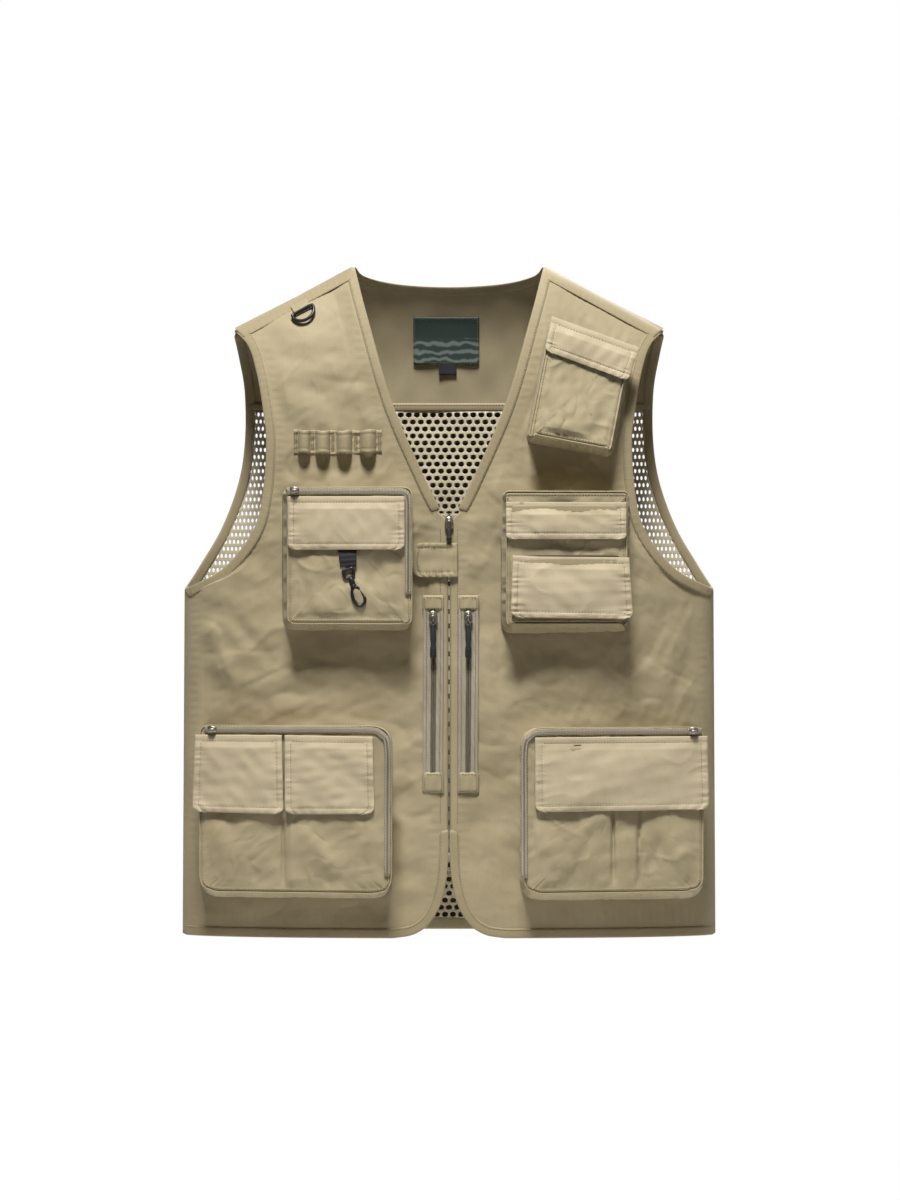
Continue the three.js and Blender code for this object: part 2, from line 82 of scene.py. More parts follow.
def creases(p, size, seed, sharp=3.0):
    # ridges where a slow noise crosses zero, kept only in the patches that a second noise picks
    line = np.clip(1 - np.abs(noise(p, size, seed)) * 1.5, 0, 1) ** sharp
    patch = np.clip(noise(p, size * 1.9, seed + 7) * 0.8 + 0.45, 0, 1)
    return line * patch


def folds(u, v, lines, wander=5.0):
    # each fold is a ridge: a Gaussian across its line, times a smooth rise and fall along it
    total = 0 * u
    for x0, z0, x1, z1, wide, high in lines:
        length = math.hypot(x1 - x0, z1 - z0)
        ax, az = (x1 - x0) / length, (z1 - z0) / length
        along = ((u - x0) * ax + (v - z0) * az) / length
        across = (u - x0) * az - (v - z0) * ax + wander * np.sin(along * 4 + x0) * (wide > 3)
        total = total + high * np.exp(-(across / wide) ** 2) * np.clip(np.sin(np.clip(along, 0, 1) * math.pi), 0, 1)
    return total


def sweepLine(points, count):
    # a Catmull-Rom curve through the points, then spaced evenly by length
    p = np.array(points, float)
    q = np.vstack([2 * p[0] - p[1], p, 2 * p[-1] - p[-2]])
    t = np.linspace(0, len(p) - 1 - 1e-9, count * 6)
    i = t.astype(int)
    f = (t - i)[:, None]
    a, b, c, d = q[i], q[i + 1], q[i + 2], q[i + 3]
    c1 = 0.5 * (2 * b + (c - a) * f + (2 * a - 5 * b + 4 * c - d) * f ** 2 + (3 * b - a - 3 * c + d) * f ** 3)
    run = np.r_[0, np.cumsum(np.linalg.norm(np.diff(c1, axis=0), axis=1))]
    s = np.linspace(0, run[-1], count)
    return np.stack([np.interp(s, run, c1[:, k]) for k in range(p.shape[1])], -1)


def polyLine(points, step):
    # straight runs between the points, spaced evenly by length
    p = np.array(points, float)
    run = np.r_[0, np.cumsum(np.linalg.norm(np.diff(p, axis=0), axis=1))]
    s = np.linspace(0, run[-1], max(2, int(run[-1] / step) + 1))
    return np.stack([np.interp(s, run, p[:, k]) for k in range(p.shape[1])], -1)


def makeMesh(name, verts, faces, mat, body="vest", smooth=True, uv=None, replaces=(), slot=None):
    mesh = bpy.data.meshes.new(name)
    mesh.from_pydata((np.asarray(verts, float) * mm).tolist(), [], [tuple(f) for f in np.asarray(faces).tolist()]
                     if not isinstance(faces, list) else faces)
    mesh.update()
    if uv is not None:
        layer = mesh.uv_layers.new(name="cloth")
        loops = np.empty(len(mesh.loops), np.int32)
        mesh.loops.foreach_get("vertex_index", loops)
        layer.data.foreach_set("uv", (np.asarray(uv)[loops] * mm).astype(np.float32).ravel())
    mesh.polygons.foreach_set("use_smooth", np.full(len(mesh.polygons), smooth))
    obj = bpy.data.objects.new(name, mesh)
    bpy.context.scene.collection.objects.link(obj)
    obj.data.materials.append(mat)
    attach(obj, body)
    if replaces:
        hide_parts(*replaces)
    return obj


def gridFaces(rows, cols, closedCols=False, start=0):
    # quads of a grid of points, row by row
    r = np.arange(rows - 1)[:, None]
    c = np.arange(cols if closedCols else cols - 1)[None, :]
    n = (c + 1) % cols
    a, b = r * cols + c, r * cols + n
    d, e = (r + 1) * cols + c, (r + 1) * cols + n
    return np.stack([a, b, e, d], -1).reshape(-1, 4) + start


def gridNormals(p):
    du = np.gradient(p, axis=1)
    dv = np.gradient(p, axis=0)
    n = np.cross(du, dv)
    return n / np.maximum(1e-9, np.linalg.norm(n, axis=-1, keepdims=True))


def shell(name, p, thick, mat, flip=False, **more):
    # a closed sheet: the outer grid, the same grid moved in by the thickness, and a rim
    rows, cols = p.shape[:2]
    n = gridNormals(p) * (-1 if flip else 1)
    outer = p.reshape(-1, 3)
    inner = (p - n * thick).reshape(-1, 3)
    faces = gridFaces(rows, cols)
    back = faces[:, ::-1] + rows * cols
    idx = np.arange(rows * cols).reshape(rows, cols)
    edge = np.r_[idx[0, :-1], idx[:-1, -1], idx[-1, :0:-1], idx[:0:-1, 0]]
    nxt = np.roll(edge, -1)
    rim = np.stack([nxt, edge, edge + rows * cols, nxt + rows * cols], -1)
    allFaces = np.vstack([faces, back, rim])
    if flip:
        allFaces = allFaces[:, ::-1]
    run = np.r_[0, np.cumsum(np.linalg.norm(np.diff(p[rows // 2], axis=0), axis=1))]
    fall = np.r_[0, np.cumsum(np.linalg.norm(np.diff(p[:, cols // 2], axis=0), axis=1))]
    uu, vv = np.meshgrid(run, fall)
    uv = np.stack([uu, vv], -1).reshape(-1, 2)
    return makeMesh(name, np.vstack([outer, inner]), allFaces, mat, uv=np.vstack([uv, uv]), **more)


def tubeAlong(path, radius, sides=8, closed=False, flat=1.0, up=(0, -1, 0)):
    # circles (or ellipses) set square to the path, joined into a tube
    p = np.asarray(path, float)
    t = np.roll(p, -1, 0) - np.roll(p, 1, 0) if closed else np.gradient(p, axis=0)
    t /= np.maximum(1e-9, np.linalg.norm(t, axis=1, keepdims=True))
    side = np.cross(t, np.array(up, float))
    side /= np.maximum(1e-9, np.linalg.norm(side, axis=1, keepdims=True))
    top = np.cross(side, t)
    a = np.linspace(0, 2 * math.pi, sides, endpoint=False)
    r = np.broadcast_to(np.asarray(radius, float), (len(p),))[:, None, None]
    wide, high = np.cos(a)[None, :, None], np.sin(a)[None, :, None]
    ring = p[:, None] + r * (wide * side[:, None] + flat * high * top[:, None])
    rows = len(p)
    if closed:
        ring = np.concatenate([ring, ring[:1]], 0)
        faces = gridFaces(rows + 1, sides, True)
        faces = np.where(faces >= rows * sides, faces - rows * sides, faces)
        return ring[:rows].reshape(-1, 3), faces.tolist()
    faces = gridFaces(rows, sides, True).tolist()
    faces.append(list(range(sides))[::-1])
    faces.append([(rows - 1) * sides + k for k in range(sides)])
    return ring.reshape(-1, 3), faces


def joined(parts):
    # several (points, faces) pairs as one
    verts, faces, start = [], [], 0
    for v, f in parts:
        verts.append(np.asarray(v, float))
        faces += [[k + start for k in face] for face in (f.tolist() if hasattr(f, "tolist") else f)]
        start += len(v)
    return np.vstack(verts), faces


def stitchRun(path, out, pitch=3.2, length=2.3, wide=0.75, high=0.5):
    # each stitch is a stretched eight-faced bead that lies along the path and stands out along its normal
    p, n = np.asarray(path, float), np.asarray(out, float)
    run = np.r_[0, np.cumsum(np.linalg.norm(np.diff(p, axis=0), axis=1))]
    at = np.arange(pitch, run[-1] - pitch / 2, pitch)
    if len(at) == 0:
        return np.zeros((0, 3)), np.zeros((0, 3), int)
    c = np.stack([np.interp(at, run, p[:, k]) for k in range(3)], -1)
    d = np.stack([np.interp(at + 0.5, run, p[:, k]) for k in range(3)], -1) - c
    d /= np.maximum(1e-9, np.linalg.norm(d, axis=1, keepdims=True))
    m = np.stack([np.interp(at, run, n[:, k]) for k in range(3)], -1)
    m /= np.maximum(1e-9, np.linalg.norm(m, axis=1, keepdims=True))
    s = np.cross(d, m)
    v = np.stack([c - d * length / 2, c + d * length / 2, c - s * wide / 2, c + s * wide / 2, c + m * high,
                  c - m * high], 1)
    base = np.array([[0, 2, 4], [2, 1, 4], [1, 3, 4], [3, 0, 4], [2, 0, 5], [1, 2, 5], [3, 1, 5], [0, 3, 5]])
    faces = (base[None] + 6 * np.arange(len(at))[:, None, None]).reshape(-1, 3)
    return v.reshape(-1, 3), faces


def linear(code):
    c = np.array([int(code[i:i + 2], 16) / 255 for i in (1, 3, 5)])
    c = np.where(c <= 0.04045, c / 12.92, ((c + 0.055) / 1.055) ** 2.4)
    return (*c.tolist(), 1.0)


def addNode(tree, kind, settings=None, links=None):
    # adds one node, fills its sockets and properties, and links what is given into it
    node = tree.nodes.new(kind)
    for key, value in (settings or {}).items():
        if key in node.inputs.keys() or isinstance(key, int):
            node.inputs[key].default_value = value
        else:
            setattr(node, key, value)
    for key, source in (links or {}).items():
        tree.links.new(source, node.inputs[key])
    return node


def newMaterial(name):
    mat = bpy.data.materials.new(name)
    mat.use_nodes = True
    mat.node_tree.nodes.clear()
    return mat, mat.node_tree


def wovenNylon(name, base, dark, light, thread=1.1, sheen=0.25, rough=0.72, coords="Object"):
    # plain-woven nylon, dull-calendered: soft matt colour, a faint thread grid and a little fuzz at the edges;
    # real threads are 0.3 mm apart, drawn at 1.1 mm so that they show at all
    mat, tree = newMaterial(name)
    place = addNode(tree, "ShaderNodeTexCoord")
    where = place.outputs[coords]
    warp = addNode(tree, "ShaderNodeTexWave", {"Scale": 1000 / thread / 6.283 * 1.0, "Distortion": 1.2, "Detail": 1.0,
                                               "bands_direction": "X"}, {"Vector": where})
    weft = addNode(tree, "ShaderNodeTexWave", {"Scale": 1000 / thread / 6.283 * 1.0, "Distortion": 1.2, "Detail": 1.0,
                                               "bands_direction": "Z"}, {"Vector": where})
    grid = addNode(tree, "ShaderNodeMath", {"operation": "MULTIPLY"},
                   {0: warp.outputs["Fac"], 1: weft.outputs["Fac"]})
    slub = addNode(tree, "ShaderNodeTexNoise", {"Scale": 420.0, "Detail": 3.0}, {"Vector": where})
    cloud = addNode(tree, "ShaderNodeTexNoise", {"Scale": 14.0, "Detail": 5.0, "Roughness": 0.62}, {"Vector": where})
    ramp = addNode(tree, "ShaderNodeValToRGB", None, {"Fac": cloud.outputs["Fac"]})
    ramp.color_ramp.elements[0].position = 0.30
    ramp.color_ramp.elements[0].color = linear(dark)
    ramp.color_ramp.elements[1].position = 0.72
    ramp.color_ramp.elements[1].color = linear(light)
    mid = ramp.color_ramp.elements.new(0.5)
    mid.color = linear(base)
    fleck = addNode(tree, "ShaderNodeMix", {"data_type": "RGBA", "blend_type": "MULTIPLY", "Factor": 0.12},
                    {6: ramp.outputs["Color"], 7: slub.outputs["Color"]})
    height = addNode(tree, "ShaderNodeMath", {"operation": "MULTIPLY_ADD", 1: 0.5}, {0: slub.outputs["Fac"],
                                                                                   2: grid.outputs[0]})
    bump = addNode(tree, "ShaderNodeBump", {"Strength": 0.1, "Distance": 0.0005}, {"Height": height.outputs[0]})
    shader = addNode(tree, "ShaderNodeBsdfPrincipled", {"Roughness": rough, "Sheen Weight": sheen,
                                                        "Sheen Roughness": 0.5, "IOR": 1.53,
                                                        "Specular IOR Level": 0.32},
                     {"Base Color": fleck.outputs[2], "Normal": bump.outputs["Normal"]})
    addNode(tree, "ShaderNodeOutputMaterial", None, {"Surface": shader.outputs[0]})
    return mat


def mouldedPlastic(name, base, rough=0.38):
    # acetal or nylon 6 as moulded: nearly black, satin, with a faint orange-peel
    mat, tree = newMaterial(name)
    where = addNode(tree, "ShaderNodeTexCoord").outputs["Object"]
    peel = addNode(tree, "ShaderNodeTexNoise", {"Scale": 900.0, "Detail": 2.0}, {"Vector": where})
    wear = addNode(tree, "ShaderNodeTexNoise", {"Scale": 160.0, "Detail": 4.0}, {"Vector": where})
    tone = addNode(tree, "ShaderNodeMapRange", {"To Min": rough - 0.08, "To Max": rough + 0.14},
                   {"Value": wear.outputs["Fac"]})
    bump = addNode(tree, "ShaderNodeBump", {"Strength": 0.12, "Distance": 0.0002}, {"Height": peel.outputs["Fac"]})
    shader = addNode(tree, "ShaderNodeBsdfPrincipled", {"Base Color": linear(base), "IOR": 1.48},
                     {"Roughness": tone.outputs[0], "Normal": bump.outputs["Normal"]})
    addNode(tree, "ShaderNodeOutputMaterial", None, {"Surface": shader.outputs[0]})
    return mat


def castZinc(name, base, rough=0.3):
    # die-cast zinc, tumbled and plated dark nickel: a grey metal gloss, duller in the recesses
    mat, tree = newMaterial(name)
    where = addNode(tree, "ShaderNodeTexCoord").outputs["Object"]
    scuff = addNode(tree, "ShaderNodeTexNoise", {"Scale": 380.0, "Detail": 4.0}, {"Vector": where})
    tone = addNode(tree, "ShaderNodeMapRange", {"To Min": rough - 0.06, "To Max": rough + 0.2},
                   {"Value": scuff.outputs["Fac"]})
    bump = addNode(tree, "ShaderNodeBump", {"Strength": 0.1, "Distance": 0.0002}, {"Height": scuff.outputs["Fac"]})
    shader = addNode(tree, "ShaderNodeBsdfPrincipled", {"Base Color": linear(base), "Metallic": 1.0},
                     {"Roughness": tone.outputs[0], "Normal": bump.outputs["Normal"]})
    addNode(tree, "ShaderNodeOutputMaterial", None, {"Surface": shader.outputs[0]})
    return mat


bodyNylon = wovenNylon("khaki_woven_nylon", "#9a8d6f", "#938668", "#a19476", sheen=0.08)
# the flaps' copy of the body nylon, drawn lighter: painted light on the raised flaps
litFlapNylon = wovenNylon("khaki_woven_nylon_flaps_painted_light", "#b0a286", "#a99b7f", "#b7a98d", sheen=0.08)
bindingNylon = wovenNylon("folded_nylon_binding", "#938668", "#8b7e60", "#9b8e70", thread=0.9, sheen=0.08)
# the stitching thread is real; its dark tone is painted shade of the sunken stitch lines
shadeDarkThreadNylon = wovenNylon("polyester_thread_painted_groove_shade", "#6c6147", "#635940", "#766b50", thread=0.8, sheen=0.0)
# a dark copy of the khaki nylon: painted shade, used behind the knit and in the pocket slits
paintedShadeNylon = wovenNylon("dark_nylon_painted_shade", "#4a4433", "#433d2d", "#524b39", thread=1.6, sheen=0.0)
print("materials made")


def closedShells(obj):
    # turns every closed shell of a piece so that its faces point outwards
    work = bmesh.new()
    work.from_mesh(obj.data)
    bmesh.ops.recalc_face_normals(work, faces=work.faces)
    work.to_mesh(obj.data)
    work.free()


# seams of the right front as (x, z); the left front mirrors them
pattern = {
    "neck": [(-101, 2), (-97, -14), (-86, -56), (-60, -146), (-25, -227), (-10, -257)],
    "armFront": [(-228, -64), (-210, -84), (-200, -115), (-193, -155), (-190, -185), (-192, -227), (-199, -267),
                 (-214, -295), (-240, -322), (-279, -341)],
    "armBack": [(-228, -64), (-222, -92), (-216, -130), (-216, -182), (-223, -227), (-240, -274), (-262, -313),
                (-279, -341)],
    "corner": [(-1.4, -606), (-3.5, -640), (-10, -668), (-22, -688), (-38, -698.5), (-58, -702)],
    "backNeck": [(-101, 2), (-90, -9), (-55, -17), (0, -20), (55, -17), (90, -9), (101, 2)],
}


def sideOf(side):
    return 1 if side == "right" else -1


def panelDepth(x, z, seed):
    # slow waves, finer creases, and puckers where the hem and front edges are stitched
    p = np.stack([x, z], -1)
    edge = np.exp(-np.abs(z + 690) / 9) * 0.55 * np.sin(x * 2 * math.pi / 8.3 + 1.5 * np.sin(x / 31))
    centre = np.exp(-np.abs(np.abs(x) - 9) / 7) * 0.3 * np.sin(z * 2 * math.pi / 9.1)
    slow = 2.4 * noise(p * [1.0, 0.5], 130, seed) + 0.8 * noise(p, 48, seed + 1) + 0.2 * noise(p, 15, seed + 2)
    sharp = 1.3 * creases(p * [1.0, 0.8], 70, seed + 3, 2.0) - 1.0 * creases(p * [0.8, 1.0], 56, seed + 4, 2.0)
    sharp = sharp + 0.45 * creases(p, 21, seed + 5, 2.0)
    calm = 1 - np.exp(-np.abs(z + 700) / 25)
    return (slow + sharp) * calm + edge + centre


frontCloth = {"columns": 140, "rows": 270, "thick": 1.0}


def frontPanel(side):
    # rows run from the armhole and side seam to the neck and front edge, denser towards the side
    s = sideOf(side)
    arm = sweepLine(pattern["armFront"], 120)
    outer = np.vstack([arm, [(-281, -702)]])
    neck = sweepLine(pattern["neck"], 90)
    corner = sweepLine(pattern["corner"], 60)
    inner = np.vstack([neck, [(-3, -268), (-1.4, -300), (-1.4, -572)], corner])
    v = np.linspace(0, 1, frontCloth["rows"])[:, None]
    u = 1 - np.cos(np.linspace(0, 1, frontCloth["columns"]) * math.pi / 2)[None, :]
    zOuter, zInner = -64 + v * (-702 + 64), -1 + v * (-701.5 + 1)
    xOuter = np.interp(-zOuter, -outer[:, 1], outer[:, 0]) + 2.0 * (zOuter > -335)
    xInner = np.interp(-zInner, -inner[:, 1], inner[:, 0]) - 2.0 * (zInner > -262)
    xOuter = np.maximum(xOuter, -halfWidth(zOuter) + 0.02)
    x = xOuter + (xInner - xOuter) * u
    z = zOuter + (zInner - zOuter) * u
    wave = panelDepth(x * s, z, 11 if side == "right" else 23)
    lean = folds(x * s, z, sideFolds[side])
    quiet = np.clip((halfWidth(z) - np.abs(x)) / 30, 0, 1) * np.clip((shoulderZ(x) - z) / 30, 0, 1)
    edge = np.minimum(np.abs(x - xOuter), np.abs(xInner - x))
    quiet = quiet * np.clip((edge - 8) / 14, 0, 1) * np.clip((z + 694) / 14, 0, 1)
    puckers = 0.25 * np.sin(z * 2 * math.pi / 8.1 + 2 * np.sin(z / 27)) * np.exp(-((edge - 12) / 5) ** 2)
    p = onFront(x * s, z, block["cloth"] + (wave + lean) * quiet + puckers)
    obj = shell(side + "_front_cloth", p, frontCloth["thick"], bodyNylon, flip=(s > 0),
                replaces=(side + "_front_panel",))
    closedShells(obj)
    return obj


# soft creases: x0, z0, x1, z1, width, height
sideFolds = {
    "right": [(-262, -360, -205, -470, 10, 2.6), (-235, -345, -180, -430, 8, -1.8), (-270, -400, -262, -640, 7, 2.0),
              (-120, -395, -60, -470, 11, 1.6), (-45, -330, -40, -560, 9, 1.4), (-200, -395, -120, -455, 9, -1.4),
              (-40, -570, -52, -690, 9, 2.0), (-180, -100, -150, -170, 12, 1.6), (-90, -120, -75, -215, 8, 1.2)],
    "left": [(262, -360, 205, -470, 10, 2.6), (238, -350, 176, -440, 8, -1.6), (270, -400, 266, -640, 7, 2.0),
             (120, -400, 52, -480, 11, 1.8), (47, -330, 46, -560, 9, 1.4), (205, -400, 130, -465, 9, -1.4),
             (44, -570, 56, -690, 9, 2.0), (60, -190, 48, -300, 8, 1.5), (200, -210, 190, -330, 8, 1.2)],
}

for side in ("right", "left"):
    frontPanel(side)
print("fronts made")


backCloth = {"columns": 150, "rows": 70, "thick": 1.0}


def backSheet(name, top, bottom, leftOf, rightOf, out, mat, node, seed, rows, lift=0.8):
    # columns span from one edge to the other, rows fall from the top line to the bottom line
    v = np.linspace(0, 1, rows)[:, None]
    u = -np.cos(np.linspace(0, 1, backCloth["columns"]) * math.pi)[None, :] * 0.5 + 0.5
    zTop0, zTop1 = top
    left, right = leftOf, rightOf
    zRow = zTop0 + (bottom - zTop0) * v
    x = left(zRow) + (right(zRow) - left(zRow)) * u
    z = zTop1(x) + (bottom - zTop1(x)) * v
    x = left(z) + (right(z) - left(z)) * u
    p2 = np.stack([x, z], -1)
    wave = lift * (1.2 * noise(p2, 130, seed) + 0.5 * noise(p2, 45, seed + 1))
    quiet = np.clip((halfWidth(z) - np.abs(x)) / 30, 0, 1) * np.clip((shoulderZ(x) - z) / 25, 0, 1)
    tuck = (out - block["cloth"]) * 0.65 * np.clip(1 - (halfWidth(z) - np.abs(x)) / 16, 0, 1)
    p = onBack(x, z, out + wave * quiet - tuck)
    obj = shell(name, p, backCloth["thick"], mat, replaces=(node,) if node else ())
    closedShells(obj)
    return obj


armFrontLine = sweepLine(pattern["armFront"], 120)
armBackLine = sweepLine(pattern["armBack"], 120)
backNeckLine = sweepLine(pattern["backNeck"], 90)


def armBackX(z):
    return np.interp(-z, -armBackLine[:, 1], armBackLine[:, 0])


def yokeTop(x):
    # the shoulder line outside the neck, the neckline between
    inside = np.interp(x, backNeckLine[:, 0], backNeckLine[:, 1])
    return np.where(np.abs(x) < 100.5, inside, shoulderZ(x) - 0.01)


backSheet("back_yoke_cloth", (0, yokeTop), -150, lambda z: np.where(z > -64, -228, armBackX(z)) + 2,
          lambda z: -np.where(z > -64, -228, armBackX(z)) - 2, block["cloth"], bodyNylon, "back_yoke", 31, 70)


def outerSide(z):
    # straight down under the armhole, then a curve out to the side seam
    return -185 - (halfWidth(z) - 185.02) * np.clip((-z - 345) / 60, 0, 1) ** 0.6


outerBack = backSheet("back_outer_cloth", (-132, lambda x: -132 + 0 * x), -692, outerSide, lambda z: -outerSide(z),
                      2 * block["cloth"] + 1.4, bodyNylon, "back_outer_panel", 41, 150, lift=0.5)
# its inner face, seen through the mesh, takes a dark copy of the nylon: painted shade behind the knit
outerBack.data.materials.append(paintedShadeNylon)
facing = np.empty(len(outerBack.data.polygons) * 3, np.float32)
outerBack.data.polygons.foreach_get("normal", facing)
outerBack.data.polygons.foreach_set("material_index", (facing.reshape(-1, 3)[:, 1] < -0.2).astype(np.int32))
print("back made")


# folded tape sewn round the raw edges: width, thickness and the pucker its stitches pull
tape = {"width": 9.0, "thick": 2.3, "pucker": 0.22, "puckerLength": 6.5, "stitchIn": 7.4}


def insideOf(line, towards):
    # unit normals of a flat line, all on the side where most of it sees the point given
    t = np.gradient(line, axis=0)
    n = np.stack([-t[:, 1], t[:, 0]], -1)
    n /= np.linalg.norm(n, axis=1, keepdims=True)
    return n * np.sign(np.sum(n * (np.array(towards) - line)))


def tapeStrip(name, line, towards, surface, width, node, mat=None, seed=0):
    # a flattened ring (superellipse) carried along the seam in even steps, over the cloth and under it;
    # it stops at the side and at the shoulder line
    place = surface(line[:, 0], line[:, 1], 0)
    far = np.r_[0, np.cumsum(np.linalg.norm(np.diff(place, axis=0), axis=1))]
    even = np.linspace(0, far[-1], len(line))
    line = np.stack([np.interp(even, far, line[:, 0]), np.interp(even, far, line[:, 1])], -1)
    n = insideOf(line, towards)
    k = 14
    a = np.linspace(0, 2 * math.pi, k, endpoint=False)
    power = 0.55
    w = width / 2 - 0.5 + (width / 2 + 0.6) * np.sign(np.cos(a)) * np.abs(np.cos(a)) ** power * -1
    h = 0.7 + tape["thick"] / 2 * np.sign(np.sin(a)) * np.abs(np.sin(a)) ** power
    run = np.r_[0, np.cumsum(np.linalg.norm(np.diff(line, axis=0), axis=1))]
    wave = tape["pucker"] * np.sin(run * 2 * math.pi / tape["puckerLength"] + 2 * np.sin(run / 23 + seed))
    ends = np.sqrt(np.clip(np.minimum(run, run[-1] - run) / 3.0, 0.02, 1))[:, None]
    w, h = w[None] * ends, 0.7 + (h[None] - 0.7) * ends
    if surface is onBack:
        h = 0.0 + (h - 0.7) * 1.7
    x = line[:, :1] + n[:, :1] * w
    z = line[:, 1:] + n[:, 1:] * w
    x = np.clip(x, 0.03 - halfWidth(z), halfWidth(z) - 0.03)
    z = np.minimum(z, shoulderZ(x) - 0.03)
    out = h + block["cloth"] - 0.6 + wave[:, None] * (h > 0.6)
    p = surface(x, z, out)
    faces = gridFaces(len(line), k, True).tolist()
    faces.append(list(range(k))[::-1])
    faces.append([(len(line) - 1) * k + j for j in range(k)])
    uv = np.stack([np.broadcast_to(run[:, None], x.shape), np.broadcast_to(w, x.shape)], -1).reshape(-1, 2)
    obj = makeMesh(name, p.reshape(-1, 3), faces, mat or bindingNylon, uv=uv, replaces=(node,) if node else ())
    closedShells(obj)
    seam = line + n * (width - 1.6)
    top = surface(seam[:, 0], seam[:, 1], block["cloth"] + tape["thick"] / 2 + 0.25)
    sign = -1 if surface is onFront else 1
    return top, np.tile([0.0, sign, 0.0], (len(top), 1))


def flipped(points, s):
    p = np.array(points, float)
    p[:, 0] *= s
    return p


bodyStitches = []
for side in ("right", "left"):
    s = sideOf(side)
    mid = (-170 * s, -300)
    neckLine = flipped(sweepLine(pattern["neck"], 110), s)
    armLine = flipped(sweepLine(pattern["armFront"], 150), s)[3:]
    behindLine = flipped(sweepLine(pattern["armBack"], 130), s)[3:]
    hemLine = np.vstack([flipped(polyLine([(-1.4, -590), (-1.4, -602)], 3), s),
                         flipped(sweepLine(pattern["corner"], 50), s),
                         flipped(polyLine([(-60, -702), (-279, -702)], 3), s)])
    hemLine = polyLine(hemLine, 3)
    bodyStitches.append(tapeStrip(side + "_neck_tape", neckLine, mid, onFront, tape["width"],
                                  side + "_neck_binding"))
    bodyStitches.append(tapeStrip(side + "_armhole_tape", armLine, (-60 * s, -230), onFront, tape["width"],
                                  side + "_armhole_binding"))
    bodyStitches.append(tapeStrip(side + "_hem_tape", hemLine, (-150 * s, -500), onFront, tape["width"],
                                  side + "_hem_binding"))
    bodyStitches.append(tapeStrip(side + "_back_armhole_tape", behindLine, (0, -200), onBack, tape["width"],
                                  side + "_back_armhole_binding"))
    # the two rows of stitches that run beside the forward shoulder seam
    for drop in (7, 12):
        x = np.linspace(-224, -104, 80)
        top = onFront(x * s, shoulderZ(x) - drop - 0 * x, block["cloth"] + 0.35)
        bodyStitches.append((top, np.tile([0.0, -1, 0.6], (80, 1))))
    front = flipped(polyLine([(-9, -275), (-9, -585)], 4), s)
    bodyStitches.append((onFront(front[:, 0], front[:, 1], block["cloth"] + 0.3),
                         np.tile([0.0, -1, 0], (len(front), 1))))

bodyStitches.append(tapeStrip("back_neck_tape", backNeckLine, (0, -300), onBack, 7.5, "back_neck_binding"))
backHemLine = polyLine([(-279, -701), (279, -701)], 4)
bodyStitches.append(tapeStrip("back_hem_tape", backHemLine, (0, -300), onBack, 12.0, "back_hem_band"))


def shoulderSeam(side):
    # a felled strip that starts on the front, rolls over the shoulder line and ends on the back
    s = sideOf(side)
    w = np.linspace(0, 1, 15)[None]
    x = np.linspace(-225.6, -101.2, 90)[:, None] + 0 * w
    ends = np.sqrt(np.clip(np.minimum(x + 226, -100.8 - x) / 4, 0.02, 1))
    front = np.clip(1 - w / 0.62, 0, 1)
    back = np.clip((w - 0.66) / 0.34, 0, 1)
    # it ends at the armhole, so its lower edges are shorter than its top
    for _ in range(2):
        z = shoulderZ(x) - 0.6 - 13.4 * front - 8 * back
        hole = np.where(front > 0, np.interp(-z, -armFrontLine[:, 1], armFrontLine[:, 0]), armBackX(z))
        x = np.maximum(x, hole + 0.6)
    rise = (0.3 + 0.8 * ends + 0.9 * ends * (front > 0) * np.sin(np.clip(front, 0, 1) * math.pi) ** 0.5
            + 0.14 * np.sin(x * 1.05 + 4 * w))
    pf, pb = onFront(x * s, z, rise), onBack(x * s, z, rise)
    share = np.clip((w - 0.6) / 0.08, 0, 1)[..., None]
    p = pf * (1 - share) + pb * share
    p[..., 2] += 1.2 * ends * np.exp(-((w - 0.64) / 0.06) ** 2)
    if s < 0:
        p = p[::-1]
    obj = shell(side + "_shoulder_strip", p, 0.9, bindingNylon)
    closedShells(obj)


def sideSeam(side):
    # the felled seam that closes front to back below the armhole: a flattened bead down the fold
    s = sideOf(side)
    z = np.linspace(-337, -700, 150)
    x = -s * (halfWidth(z) - 2.6)
    y = 1.3 + 0.25 * np.sin(z / 2.6) + 0.5 * np.sin(z / 41)
    ends = np.sqrt(np.clip(np.minimum(-335 - z, z + 702) / 6, 0.05, 1))
    obj = makeMesh(side + "_side_seam", *tubeAlong(np.stack([x, y, z], -1), 6.4 * ends, sides=16, flat=0.42,
                                                   up=(s, 0, 0)), bodyNylon)
    closedShells(obj)
    for k in (-1, 1):
        path = np.stack([x - s * 1.6, y + 4.2 * k, z], -1)
        bodyStitches.append((path, np.tile([-s * 0.8, 0.6 * k, 0], (len(z), 1))))


for side in ("right", "left"):
    shoulderSeam(side)
    sideSeam(side)


def yokeBand():
    # the folded seam that closes the yoke over the lining
    x = np.linspace(-213, 213, 150)[:, None]
    w = np.linspace(0, 1, 6)[None]
    z = -141 - 9 * w + 0 * x
    p = onBack(x + 0 * w, z, -0.3 - 1.0 * np.sin(w * math.pi) ** 0.5 - 0.15 * np.sin(x * 0.9))
    obj = shell("yoke_seam_band", p, 0.6, bindingNylon)
    closedShells(obj)
    return (onBack(x[:, 0], z[:, 1], -1.5), np.tile([0.0, -1, 0], (150, 1)))


bodyStitches.append(yokeBand())
print("bindings made")


# the lining: honeycomb knit, one hole in each cell of a brick pattern
net = {"wide": 8.6, "tall": 7.5, "hole": 0.79, "strand": 0.9}


def knitMaterial():
    # polyester raschel knit: off-white rounded strands with a soft matt fuzz
    return wovenNylon("polyester_honeycomb_knit", "#c0b59b", "#b2a78c", "#cdc3ab", thread=1.0, sheen=0.3, rough=0.8)


